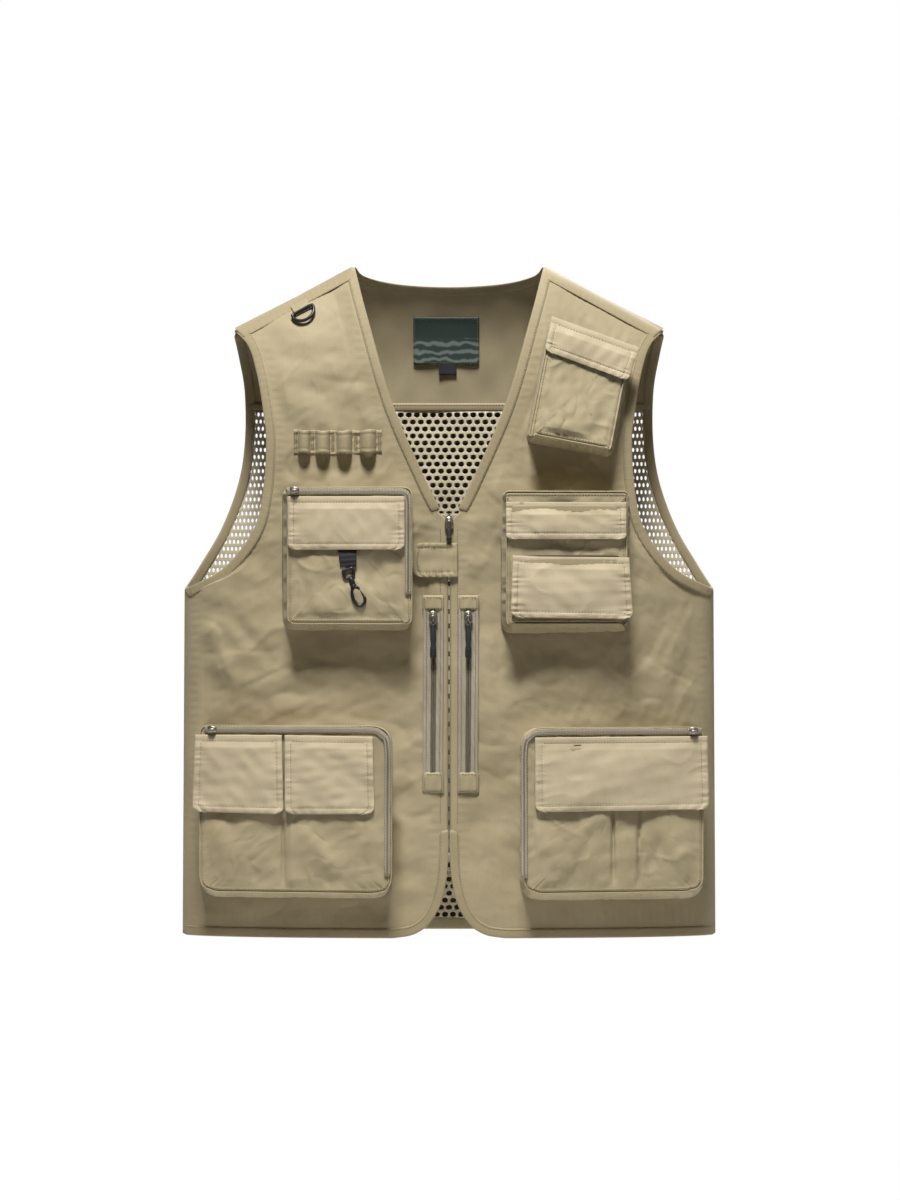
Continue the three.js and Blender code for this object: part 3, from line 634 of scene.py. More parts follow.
def netX(x):
    # the knit is drawn closer together beside the armholes, where it turns away: 1 to 0.5 past 168 mm
    a = np.abs(x)
    near = np.minimum(a, 168)
    far = np.maximum(0, a - 168)
    return np.sign(x) * (near + 0.5 * far + 0.5 * 14 * (1 - np.exp(-far / 14)))


def netLimit(z):
    return np.where(z < -341, halfWidth(z) + 1.4, -armBackX(z))


def netSheet(name, zTop, zBottom, replaces):
    # each cell joins eight points on its edge to eight points round its hole; cells outside the armholes are dropped
    rows = int((zTop - zBottom) / net["tall"])
    cols = 92
    r, c = np.meshgrid(np.arange(rows), np.arange(-cols // 2, cols // 2 + 1), indexing="ij")
    cx = (c + 0.5 * (r % 2)) * net["wide"]
    cz = zTop - (r + 0.5) * net["tall"] + 0 * c
    keep = np.abs(netX(cx)) - 0.5 < netLimit(cz) - 2
    cx, cz = cx[keep], cz[keep]
    w, t = net["wide"] / 2, net["tall"] / 2
    edge = np.array([(-w, -t), (0, -t), (w, -t), (w, 0), (w, t), (0, t), (-w, t), (-w, 0)])
    a = np.array([225, 270, 315, 0, 45, 90, 135, 180]) * math.pi / 180
    hole = np.stack([np.cos(a) * w, np.sin(a) * t], -1)
    size = (net["hole"] * np.where(np.abs(cx) > 170, 0.8, 1.0))[:, None, None]
    edge, hole = edge[None] + 0 * size, hole[None] * size
    rings = np.stack([edge, edge * 0.42 + hole * 0.58, hole], 1)
    lift = np.array([0.0, 0.28, 0.0])[:, None]
    x = cx[:, None, None] + rings[..., 0]
    z = cz[:, None, None] + rings[..., 1]
    x = netX(x)
    x = np.sign(x) * np.minimum(np.abs(x), netLimit(z) - 2.0)
    p2 = np.stack([x, z], -1)
    wave = 0.9 * noise(p2, 70, 51)
    out = -0.3 + wave * np.clip((halfWidth(z) - np.abs(x)) / 30, 0, 1) * 0.6 - lift[None]
    p = onBack(x, z, out + 0.6)
    count = len(cx)
    k = np.arange(8)
    n = (k + 1) % 8
    q = []
    for ring in (0, 1):
        q.append(np.stack([k + 8 * ring, n + 8 * ring, n + 8 * ring + 8, k + 8 * ring + 8], -1))
    q = np.vstack(q)
    faces = (q[None] + 24 * np.arange(count)[:, None, None]).reshape(-1, 4)
    flat = p.reshape(-1, 3)
    key = np.round(flat / 0.02).astype(np.int64)
    _, first, back = np.unique(key, axis=0, return_index=True, return_inverse=True)
    faces = back.reshape(-1)[faces]
    faces = faces[[len(set(f)) == 4 for f in faces.tolist()]]
    obj = makeMesh(name, flat[first], faces, knit, replaces=replaces)
    solid = obj.modifiers.new("strand_thickness", "SOLIDIFY")
    solid.thickness = net["strand"] * mm
    solid.offset = 0
    return obj, count


knit = knitMaterial()
netCuts = [(-150, -330), (-330, -510), (-510, -690)]
for number, (zTop, zBottom) in enumerate(netCuts):
    obj, cells = netSheet("mesh_lining_%d" % (number + 1), zTop, zBottom, ("back_mesh_lining",))
    print("lining cells", cells)


def restPlane(left, right, bottom, top):
    # the plane through the cloth's slopes at the middle of a pocket, moved out until it clears the cloth
    def depthAt(x, z):
        return block["front"] * float(bulge(np.array(float(x)), np.array(float(z))))
    midX, midZ = (left + right) / 2, (bottom + top) / 2
    slopeX = (depthAt(right, midZ) - depthAt(left, midZ)) / (right - left)
    slopeZ = (depthAt(midX, top) - depthAt(midX, bottom)) / (top - bottom)
    x, z = np.meshgrid(np.linspace(left, right, 7), np.linspace(bottom, top, 7))
    level = np.max(block["front"] * bulge(x, z) - slopeX * x - slopeZ * z)
    return slopeX, slopeZ, level + block["cloth"] + block["fit"]


def onPlane(plane, x, z, out):
    return np.stack([x, -(plane[2] + plane[0] * x + plane[1] * z) - out, z + 0 * x], -1)


planes = {
    "chestRight": restPlane(-174, -38, -383, -235), "chestLeft": restPlane(54, 189, -386, -239),
    "lowerRight": restPlane(-262, -59, -662, -482), "lowerLeft": restPlane(73, 268, -664, -484),
    "shoulder": restPlane(79, 197, -203, -55), "middle": restPlane(-38, 38, -640, -255),
    "ring": restPlane(-175, -130, -75, -32),
}


def roundedOutline(corners, radii, count):
    # straight sides, with a quadratic curve at each corner, spaced evenly by length
    c = np.array(corners, float)
    pts = []
    for i, r in enumerate(radii):
        a, b, d = c[i - 1], c[i], c[(i + 1) % len(c)]
        p0 = b + (a - b) / np.linalg.norm(a - b) * r
        p1 = b + (d - b) / np.linalg.norm(d - b) * r
        t = np.linspace(0, 1, 9)[:, None]
        pts.append((1 - t) ** 2 * p0 + 2 * t * (1 - t) * b + t ** 2 * p1)
    p = np.vstack(pts + [pts[0][:1]])
    run = np.r_[0, np.cumsum(np.linalg.norm(np.diff(p, axis=0), axis=1))]
    s = np.linspace(0, run[-1], count, endpoint=False)
    return np.stack([np.interp(s, run, p[:, k]) for k in (0, 1)], -1)


def outlineIn(line, distance):
    # moves a closed outline inwards along its normals
    t = np.roll(line, -1, 0) - np.roll(line, 1, 0)
    n = np.stack([-t[:, 1], t[:, 0]], -1) / np.linalg.norm(t, axis=1, keepdims=True)
    n *= np.sign(np.sum(n * (line.mean(0) - line), axis=1, keepdims=True))
    return line + n * np.asarray(distance, float).reshape(-1, 1)


def rectCorners(l, r, b, t):
    return [(l, t), (r, t), (r, b), (l, b)]


def bellowsPocket(name, corners, radii, plane, depth, node, puff, seed, count=300, sag=1.6, faceIn=(4, 3, 8, 0)):
    # rings climb the gusset from the cloth to the rim, roll over a stitched ridge, and close across the front;
    # the face is smaller than the base by faceIn: left, right, bottom, top
    line = roundedOutline(corners, radii, count)
    t = np.roll(line, -1, 0) - np.roll(line, 1, 0)
    n = np.stack([-t[:, 1], t[:, 0]], -1) / np.linalg.norm(t, axis=1, keepdims=True)
    n *= np.sign(np.sum(n * (line - line.mean(0)), axis=1, keepdims=True))
    rimIn = (faceIn[0] * np.maximum(0, -n[:, 0]) + faceIn[1] * np.maximum(0, n[:, 0])
             + faceIn[2] * np.maximum(0, -n[:, 1]) + faceIn[3] * np.maximum(0, n[:, 1]))
    down = np.maximum(0, -n[:, 1])
    rings, stitchPath = [], []
    wobble = noise(line, 34, seed)
    fine = noise(line, 9, seed + 1)
    gather = creases(line, 15, seed + 2, 2.0)
    for f in np.linspace(0, 1, 14)[:-1]:
        arch = math.sin(math.pi * f)
        pleat = 1.5 * math.exp(-((f - 0.5) / 0.13) ** 2)
        pull = rimIn * f ** 0.8 + arch * (sag * (1 + 0.7 * wobble) * (1 - 1.5 * down) + 0.7 * fine + 0.9 * gather)
        ring = outlineIn(line, pull + pleat * (1 - 0.5 * down))
        low = onFront(ring[:, 0], ring[:, 1], block["cloth"] - 1.2)
        high = onPlane(plane, ring[:, 0], ring[:, 1], depth)
        share = f ** 0.9
        rings.append(low * (1 - share) + high * share)
    for inset, out in ((-1.0, depth - 0.9), (-1.2, depth - 0.1), (-0.7, depth + 0.6), (0.1, depth + 0.5),
                       (0.5, depth - 1.4), (0.9, depth - 1.5), (1.5, depth - 0.1), (2.2, depth + 0.35),
                       (3.0, depth + 0.1), (4.2, depth - 0.1)):
        ring = outlineIn(line, rimIn + inset)
        rings.append(onPlane(plane, ring[:, 0], ring[:, 1], out + 0.2 * fine + 0.35 * wobble))
        if inset == 3.0:
            stitchPath = rings[-1]
    inner = outlineIn(line, rimIn + 4.2)
    mid = inner.mean(0)
    for k in np.linspace(0, 1, 46)[1:-1]:
        ring = mid + (inner - mid) * (1 - k)
        fromEdge = np.minimum(1, k * 9)
        pucker = 0.55 * fine * math.exp(-k * 22)
        out = depth - 0.1 + fromEdge * puff(ring[:, 0], ring[:, 1]) + pucker + 0.35 * wobble * (1 - fromEdge)
        rings.append(onPlane(plane, ring[:, 0], ring[:, 1], out))
    p = np.stack(rings)
    rows = len(p)
    faces = gridFaces(rows, count, True).tolist()
    faces.append([(rows - 1) * count + j for j in range(count)])
    faces.append(list(range(count))[::-1])
    obj = makeMesh(name, p.reshape(-1, 3), faces, bodyNylon, replaces=(node,) if node else ())
    closedShells(obj)
    ringPath = np.vstack([stitchPath, stitchPath[:1]])
    bodyStitches.append((ringPath + [0, -0.25, 0], np.tile([0.0, -1, 0], (len(ringPath), 1))))
    return line


def flapPiece(name, corners, radius, plane, base, body, node, seed, bow=2.6, lift=2.0, pucker=0.5,
              mat=None):
    # a four-cornered sheet with two rounded lower corners, bowed out, with gathers along its stitched sides
    tl, tr, br, bl = [np.array(c, float) for c in corners]
    rows, cols = 64, 76
    v = np.linspace(0, 1, rows)[:, None]
    u = (np.sin(np.linspace(-1, 1, cols) * math.pi / 2)[None, :] + np.linspace(-1, 1, cols)[None, :]) / 2
    tall = np.linalg.norm(bl - tl)
    wide = np.linalg.norm(tr - tl)
    below = (1 - v) * tall
    rounded = radius - np.sqrt(np.maximum(0, radius ** 2 - (radius - below) ** 2))
    cut = np.where(below < radius, rounded, 0) / (wide / 2)
    uu = u * (1 - cut)
    left = tl + (bl - tl) * v[..., None]
    right = tr + (br - tr) * v[..., None]
    xz = left + (right - left) * ((uu + 1) / 2)[..., None]
    x, z = xz[..., 0], xz[..., 1]
    # distances in from the sides and the lower edge, in millimetres
    inSide = (1 - np.abs(u)) * wide / 2 + 0 * v
    inLow = below + 0 * u
    beat = 0.55 + 0.45 * np.sin(v * tall / 11 + seed + 2 * (u > 0)) * np.sin(v * tall / 4.7 + 2 * seed)
    wave = pucker * beat * np.sin(v * tall * 2 * math.pi / 7.2 + np.sin(v * 13 + seed) * 2.2 + u * 1.5)
    side = wave * np.exp(-np.abs(inSide - 4) / 5.5)
    low = 0.35 * np.sin(u * wide / 2 * 2 * math.pi / 10.5 + seed) * np.exp(-np.abs(inLow - 4) / 4)
    ridge = 0.75 * np.exp(-((inSide - 3) / 3.2) ** 2) + 0.6 * np.exp(-((inLow - 3) / 3.2) ** 2)
    groove = -0.55 * (np.exp(-((inSide - 6.3) / 0.9) ** 2) + np.exp(-((inLow - 6.3) / 0.9) ** 2))
    top = 0.7 * np.exp(-((v * tall - 2.5) / 3) ** 2) - 0.45 * np.exp(-((v * tall - 6.2) / 0.9) ** 2)
    xz2 = np.stack([x, z], -1)
    soft = 0.9 * noise(xz2, 52, seed) + 0.3 * noise(xz2, 17, seed + 1) + 0.5 * creases(xz2, 44, seed + 2, 2.0)
    body0 = bow * (1 - u ** 2) * np.sin(math.pi * np.minimum(1, v * 0.9 + 0.06)) + lift * v ** 1.2
    # flat for the first millimetres below the hinge, so that it turns without rising into the rim zip
    free = np.clip(v * tall / 13, 0, 1) ** 1.4
    out = base + 0.9 + top * 0.8 + (1.0 + body0 + side + low + ridge + groove + soft) * free
    out = np.maximum(out, base + 0.7)
    p = onPlane(plane, x, z, out)
    obj = frontShell(name, p, 0.9, mat or litFlapNylon, body=body, replaces=(node,))
    closedShells(obj)
    # the stitch lines: one across below the top edge, one down each side and along the lower edge
    runs = []

    def rowAt(distance):
        return int(np.argmin(np.abs(below[:, 0] - distance)))

    iTop = int(np.argmin(np.abs(v[:, 0] * tall - 6.2)))
    jL = int(np.argmin(np.abs(inSide[0, :cols // 2] - 6.3)))
    jR = cols - 1 - jL
    iLow = rowAt(6.3)
    u0 = np.r_[p[iTop, jL:jR + 1]]
    runs.append(u0)
    loop = np.vstack([p[iTop:iLow, jL], p[iLow, jL:jR + 1], p[iTop:iLow, jR][::-1]])
    runs.append(loop)
    parts = [stitchRun(r + [0, -0.1, 0], np.tile([0.0, -1, 0], (len(r), 1))) for r in runs]
    v0, f0 = joined(parts)
    makeMesh(name + "_stitches", v0, f0, shadeDarkThreadNylon, body=body)
    return obj


def frontShell(name, p, thick, mat, **more):
    # shell() takes its thickness inwards, so a grid whose normals face back is turned to face -Y first
    turned = p[:, ::-1] if gridNormals(p)[..., 1].mean() > 0 else p
    return shell(name, turned, thick, mat, **more)


pocketDepths = {"chest": 26.0, "lower": 30.0, "shoulder": 22.0}


def puffOf(seed, base, bumps):
    # a soft swell low on the front, creases and slow noise
    def puff(x, z):
        p2 = np.stack([x, z], -1)
        total = 0.9 * noise(p2, 50, seed) + 0.3 * noise(p2, 18, seed + 1)
        total = total + 0.9 * creases(p2, 40, seed + 2, 2.0) - 0.6 * creases(p2, 30, seed + 3, 2.0)
        for cx, cz, rx, rz, high in bumps:
            total = total + high * np.exp(-((x - cx) / rx) ** 2 - ((z - cz) / rz) ** 2)
        return total + folds(x, z, base)
    return puff


cd, ld, sd = pocketDepths["chest"], pocketDepths["lower"], pocketDepths["shoulder"]

# each pocket: corners or box, corner radii, plane, depth, folds (x0, z0, x1, z1, width, height), swells
# (x, z, half width, half height, height) and how much smaller the face is than the base
pockets = {
    "chest_right_pocket": {
        "corners": rectCorners(-174, -38, -383, -235), "radii": [7, 9, 12, 12], "plane": "chestRight", "depth": cd,
        "folds": [(-156, -305, -124, -372, 8, 1.9), (-66, -305, -88, -372, 7, -1.7), (-140, -330, -70, -352, 9, 1.2)],
        "swells": [(-106, -350, 48, 22, 2.6), (-106, -372, 60, 5, -1.2)], "faceIn": (7, 1, 8, 0), "seed": 61},
    "chest_left_pocket": {
        "corners": rectCorners(54, 189, -386, -239), "radii": [6, 6, 12, 12], "plane": "chestLeft", "depth": cd,
        "folds": [(70, -292, 172, -297, 5, -1.2)],
        "swells": [(121, -297, 60, 7, -1.6)], "faceIn": (6, 5, 11, 0), "seed": 63},
    "lower_right_pocket": {
        "corners": rectCorners(-262, -59, -662, -482), "radii": [11, 21, 22, 22], "plane": "lowerRight", "depth": ld,
        "folds": [(-250, -575, -218, -650, 9, 2.3), (-226, -600, -190, -652, 7, -1.8),
                  (-152, -580, -118, -648, 8, 2.2),
                  (-96, -575, -116, -652, 7, -2.0), (-80, -510, -76, -640, 5, 1.6),
                  (-172, -330, -172, -815, 1.9, -4.2),
                  (-164, -330, -164, -815, 2.9, 1.2)],
        "swells": [(-218, -615, 34, 26, 3.2), (-118, -612, 40, 26, 3.4), (-172, -590, 9, 60, -1.6)],
        "faceIn": (3, 1, 8, 0), "seed": 65},
    "lower_left_pocket": {
        "corners": rectCorners(73, 268, -664, -484), "radii": [21, 11, 22, 22], "plane": "lowerLeft", "depth": ld,
        "folds": [(168, -330, 172, -815, 1.9, -4.4), (199, -330, 196, -815, 1.9, -4.4), (98, -575, 122, -650, 9, 2.3),
                  (152, -575, 128, -652, 8, -2.0), (225, -580, 246, -655, 8, 2.0),
                  (214, -590, 206, -650, 6, -1.8), (92, -520, 90, -640, 5, 1.6)],
        "swells": [(122, -614, 36, 26, 3.2), (236, -614, 24, 26, 2.8), (184, -600, 10, 60, 1.6)],
        "faceIn": (5, 4, 10, 0), "seed": 67},
    "shoulder_pocket": {
        "corners": [(104, -60), (193, -92), (171, -204), (79, -187)], "radii": [5, 5, 10, 10], "plane": "shoulder",
        "depth": sd, "folds": [(106, -118, 112, -185, 9, 2.2), (164, -130, 150, -195, 8, -2.2),
                               (95, -170, 160, -186, 6, 1.6)],
        "swells": [(130, -168, 30, 20, 3.6), (128, -192, 40, 5, -1.6)], "faceIn": (3, 4, 9, 0), "seed": 69},
}
for name, one in pockets.items():
    bellowsPocket(name + "_body", one["corners"], one["radii"], planes[one["plane"]], one["depth"], name,
                  puffOf(one["seed"], one["folds"], one["swells"]), one["seed"], faceIn=one["faceIn"])


def pocketMouth(name, ends, plane, depth):
    # under each flap: a turned-down hem across the pocket, sewn twice, and a dark tube along the slit that it closes,
    # painted shade in the opening
    (x0, z0), (x1, z1) = ends
    length = math.hypot(x1 - x0, z1 - z0)
    ax, az = (x1 - x0) / length, (z1 - z0) / length
    u = np.linspace(0, 1, 60)[None]
    v = np.linspace(0, 1, 14)[:, None]
    down = -1.5 - 11 * v + 0.5 * np.sin(u * math.pi)
    x = x0 + ax * length * u + az * down * -1
    z = z0 + az * length * u + ax * down
    side = np.sqrt(np.clip(np.minimum(u, 1 - u) * length / 3, 0.02, 1))
    roll = 1.5 * np.sqrt(np.clip(1 - (2 * v - 1) ** 8, 0, 1)) * side - 0.5 * np.exp(-((v - 0.78) / 0.06) ** 2)
    p = onPlane(plane, x, z, depth + 0.5 + roll + 0.15 * np.sin(u * length * 0.8))
    obj = frontShell(name + "_mouth_hem", p, 0.8, bodyNylon)
    closedShells(obj)
    # a flattened dark tube along the mouth: painted shade where the slit opens
    t = np.linspace(0, 1, 50)
    path = onPlane(plane, x0 + ax * length * t, z0 + az * length * t, depth + 0.7 + 0 * t)
    radius = 1.7 * np.sqrt(np.clip(np.minimum(t, 1 - t) * length / 5, 0.05, 1))
    obj = makeMesh(name + "_mouth_painted_shade_tube", *tubeAlong(path, radius, sides=8, flat=0.35), paintedShadeNylon)
    closedShells(obj)
    for row in (-9.4, -12.0):
        along = 4 + (length - 8) * t
        path = onPlane(plane, x0 + ax * along - az * row, z0 + az * along + ax * row, depth + 1.75 + 0 * t)
        bodyStitches.append((path, np.tile([0.0, -1, 0], (50, 1))))


mouths = {
    "chest_right": (((-154, -250), (-50, -250)), "chestRight", cd),
    "chest_left_upper": (((64, -251), (176, -251)), "chestLeft", cd),
    "chest_left_lower": (((76, -306), (176, -306)), "chestLeft", cd),
    "lower_right_outer": (((-250, -500), (-182, -500)), "lowerRight", ld),
    "lower_right_inner": (((-162, -500), (-92, -500)), "lowerRight", ld),
    "lower_left": (((102, -502), (258, -502)), "lowerLeft", ld),
    "shoulder": (((112, -76), (182, -101)), "shoulder", sd),
}
for name, (ends, plane, depth) in mouths.items():
    pocketMouth(name, ends, planes[plane], depth)
print("pockets made")

flapPiece("chest_right_flap_cloth", rectCorners(-167, -46, -299, -243.5), 7, planes["chestRight"], cd,
          "chest_right_flap", "chest_right_flap", 3)
flapPiece("chest_left_top_flap_cloth", rectCorners(59, 184, -288, -249.5), 5, planes["chestLeft"], cd,
          "chest_left_top_flap", "chest_left_top_flap", 5, bow=1.6)
flapPiece("chest_left_front_flap_cloth", [(66, -305), (187, -307), (191, -371), (64, -369)], 8, planes["chestLeft"],
          cd, "chest_left_front_flap", "chest_left_front_flap", 7, pucker=1.0)
flapPiece("lower_right_outer_flap_cloth", [(-264, -491), (-173.5, -491), (-171.5, -573), (-267, -571)], 8,
          planes["lowerRight"], ld, "lower_right_outer_flap", "lower_right_outer_flap", 9)
flapPiece("lower_right_inner_flap_cloth", [(-170.5, -491), (-79, -492), (-77, -572), (-170, -573)], 8,
          planes["lowerRight"], ld, "lower_right_inner_flap", "lower_right_inner_flap", 11)
flapPiece("lower_left_flap_cloth", [(89, -493), (269, -492.5), (271, -569), (89, -570)], 8, planes["lowerLeft"], ld,
          "lower_left_flap", "lower_left_flap", 13, bow=2.6)
flapPiece("shoulder_flap_cloth", [(107, -56), (198, -88), (186, -123), (99, -92)], 5, planes["shoulder"], sd,
          "shoulder_flap", "shoulder_flap", 15, bow=2.0, lift=1.0)
print("flaps made")


def barRun(path, out, pitch=1.5, length=3.0, wide=0.8, high=0.6):
    # stitches turned square to the path: the turns of a zip coil
    p, n = np.asarray(path, float), np.asarray(out, float)
    run = np.r_[0, np.cumsum(np.linalg.norm(np.diff(p, axis=0), axis=1))]
    at = np.arange(pitch / 2, run[-1], pitch)
    c = np.stack([np.interp(at, run, p[:, k]) for k in range(3)], -1)
    d = np.stack([np.interp(at + 0.5, run, p[:, k]) for k in range(3)], -1) - c
    d /= np.maximum(1e-9, np.linalg.norm(d, axis=1, keepdims=True))
    m = np.stack([np.interp(at, run, n[:, k]) for k in range(3)], -1)
    m /= np.maximum(1e-9, np.linalg.norm(m, axis=1, keepdims=True))
    s = np.cross(d, m)
    v = np.stack([c - s * length / 2, c + s * length / 2, c - d * wide / 2, c + d * wide / 2, c + m * high,
                  c - m * high], 1)
    base = np.array([[2, 0, 4], [1, 2, 4], [3, 1, 4], [0, 3, 4], [0, 2, 5], [2, 1, 5], [1, 3, 5], [3, 0, 5]])
    return v.reshape(-1, 3), (base[None] + 6 * np.arange(len(at))[:, None, None]).reshape(-1, 3)


def puck(outline, levels, place, ax, az, out):
    # one outline at several heights and scales, closed at both ends; place, ax, az and out set it in the garment
    o = np.asarray(outline, float)
    mid = o.mean(0)
    rings = []
    for high, scale in levels:
        q = mid + (o - mid) * scale
        rings.append(np.array(place, float) + q[:, :1] * ax + q[:, 1:] * az + high * out)
    p = np.vstack(rings)
    faces = gridFaces(len(levels), len(o), True).tolist()
    faces.append(list(range(len(o)))[::-1])
    faces.append([(len(levels) - 1) * len(o) + k for k in range(len(o))])
    return p, faces


def planeAxes(plane, angle=0.0):
    # unit vectors across, up and out of a pocket's plane, turned by an angle in it
    c, s = math.cos(angle), math.sin(angle)
    ax = np.array([c, -(plane[0] * c + plane[1] * s), s])
    az = np.array([-s, -(plane[0] * -s + plane[1] * c), c])
    out = np.cross(ax, az)
    out = out / np.linalg.norm(out)
    if out[1] > 0:
        out = -out
    return ax / np.linalg.norm(ax), az / np.linalg.norm(az), out


def roundedBox(w, h, r, n=5):
    # outline of a rounded rectangle centred on nothing, in its own millimetres
    pts = []
    for cx, cz, a0 in ((w / 2 - r, h / 2 - r, 0), (-w / 2 + r, h / 2 - r, 90), (-w / 2 + r, -h / 2 + r, 180),
                       (w / 2 - r, -h / 2 + r, 270)):
        a = np.radians(a0 + np.linspace(0, 90, n))
        pts.append(np.stack([cx + r * np.cos(a), cz + r * np.sin(a)], -1))
    return np.vstack(pts)


tapeWeave = wovenNylon("polyester_zip_tape", "#958b79", "#8a806e", "#a19786", thread=0.9, sheen=0.15)
coilNylon = wovenNylon("extruded_coil_monofilament", "#827866", "#766c5b", "#8e8471", thread=3.0, sheen=0.0,
                       rough=0.45)
weltTape = wovenNylon("polyester_welt_tape", "#978d7b", "#8c8271", "#a49a88", thread=0.9, sheen=0.15)
blackNylon = mouldedPlastic("moulded_black_nylon", "#17171a")
blackRubber = mouldedPlastic("moulded_black_rubber", "#1b1b1d", rough=0.6)
blackWebbing = wovenNylon("black_woven_webbing", "#1d1c1d", "#151515", "#272627", thread=1.2, sheen=0.2, rough=0.8)
zinc = castZinc("die_cast_zinc_nickel_plated", "#a39d92")


def rimZip(name, points, plane, depth, node):
    # a woven tape sunk in the pocket's rim with a coil along its middle, and a stitch line on each side
    line = sweepLine(np.array(points, float), 90)
    path = onPlane(plane, line[:, 0], line[:, 1], depth + 0.9)
    out = np.tile([0.0, -1, 0], (len(path), 1))
    tapePart = tubeAlong(path, 3.3, sides=10, flat=0.22)
    obj = makeMesh(name + "_tape", *tapePart, tapeWeave, replaces=(node,))
    closedShells(obj)
    coil = joined([barRun(path + [0, -0.75, 0], out, pitch=1.5, length=2.9, high=0.75)])
    makeMesh(name + "_coil", *coil, coilNylon, smooth=False)
    t = np.gradient(path, axis=0)
    t /= np.linalg.norm(t, axis=1, keepdims=True)
    s = np.cross(t, out)
    for k in (-1, 1):
        bodyStitches.append((path + s * 2.6 * k + [0, -0.45, 0], out))


rimZip("chest_right_rim_zip", [(-168, -238.6), (-110, -238.4), (-54, -238.6), (-46.5, -240), (-42.6, -247),
                               (-42.2, -290), (-42.4, -345)], planes["chestRight"], cd, "chest_right_zip")
rimZip("lower_right_rim_zip", [(-254, -485.6), (-160, -485.2), (-84, -485.6), (-70, -490), (-63.8, -502),
                               (-63.6, -560), (-63.8, -636)], planes["lowerRight"], ld, "lower_right_zip")
rimZip("lower_left_rim_zip", [(263, -487.6), (170, -487.2), (98, -487.6), (84, -492), (77.8, -504), (77.6, -560),
                              (77.8, -638)], planes["lowerLeft"], ld, "lower_left_zip")


def zipSlider(name, place, axes, alongX, body, node, pullDown=0.0, size=1.0):
    # a tapered body with a bridge over it, and a short leaf pull when pullDown is given
    ax, az, out = axes
    if alongX:
        ax, az = az * size, ax * size
    o = np.array([(-4.4, -6), (4.4, -6), (4.6, 0), (3.4, 5.4), (0, 6.4), (-3.4, 5.4), (-4.6, 0)])
    lower = puck(o, [(0.2, 0.86), (0.6, 1), (1.1, 1), (1.4, 0.9)], place, ax, az, out)
    upper = puck(o, [(2.2, 0.9), (2.6, 1), (3.1, 0.98), (3.5, 0.8)], place, ax, az, out)
    neck = puck(roundedBox(3, 3, 1), [(1.2, 1), (2.4, 1)], np.array(place) + az * 3.6, ax, az, out)
    t = np.linspace(0, math.pi, 12)
    arch = np.array(place) + az * (4.2 * np.cos(t))[:, None] + out * (3.2 + 2.0 * np.sin(t) ** 0.7)[:, None]
    bridge = tubeAlong(arch, 0.95, sides=7, up=ax)
    parts = [lower, upper, neck, bridge]
    if pullDown:
        start = np.array(place) + out * 4.6
        leaf = puck(roundedBox(3.4, pullDown, 1.5), [(0, 0.85), (0.4, 1), (1.0, 1), (1.4, 0.85)],
                    start + np.array([0, 0, -pullDown / 2 - 0.5]), np.array([1.0, 0, 0]), np.array([0, 0, 1.0]), out)
        parts.append(leaf)
    obj = makeMesh(name, *joined(parts), zinc, body=body, replaces=(node,))
    closedShells(obj)


def longPull(name, top, length, plane, body, node, slim=1.0):
    # a wire loop on the bridge, a short neck, and a moulded grip with cross ridges
    ax, az, out = planeAxes(plane)
    top = np.array(top, float)
    t = np.linspace(0, 2 * math.pi, 24, endpoint=False)
    loop = top + ax * (3.0 * slim * np.cos(t))[:, None] + az * (-4.4 + 4.7 * np.sin(t))[:, None] + out * 1.3
    ring = tubeAlong(loop, 0.62, sides=7, closed=True)
    obj = makeMesh(name + "_loop", *ring, zinc, body=body)
    closedShells(obj)
    grip = length - 8
    half = np.array([(0, 1.7), (0.12, 1.9), (0.2, 2.9), (0.45, 3.1), (0.6, 2.3), (0.72, 3.2), (0.94, 3.4), (1, 2.4)])
    t = np.linspace(0, 1, 22)
    w = np.interp(t, half[:, 0], half[:, 1]) * slim
    o = np.vstack([np.stack([w, grip * (0.5 - t)], -1), np.stack([-w, grip * (0.5 - t)], -1)[::-1]])
    parts = [puck(o, [(0, 0.9), (0.5, 1), (2.0, 1), (2.5, 0.88)], top + az * (-8 - grip / 2), ax, az, out)]
    for k in range(int(grip * 0.24 / 2.0)):
        parts.append(puck(roundedBox(4.6 * slim, 0.9, 0.4, n=3), [(2.3, 1), (2.9, 0.9), (3.1, 0.6)],
                          top + az * (-8 - grip * 0.74 - 2.0 * k), ax, az, out))
    obj = makeMesh(name, *joined(parts), blackRubber, body=body, replaces=(node,))
    closedShells(obj)


middle = planes["middle"]
midAxes = planeAxes(middle)


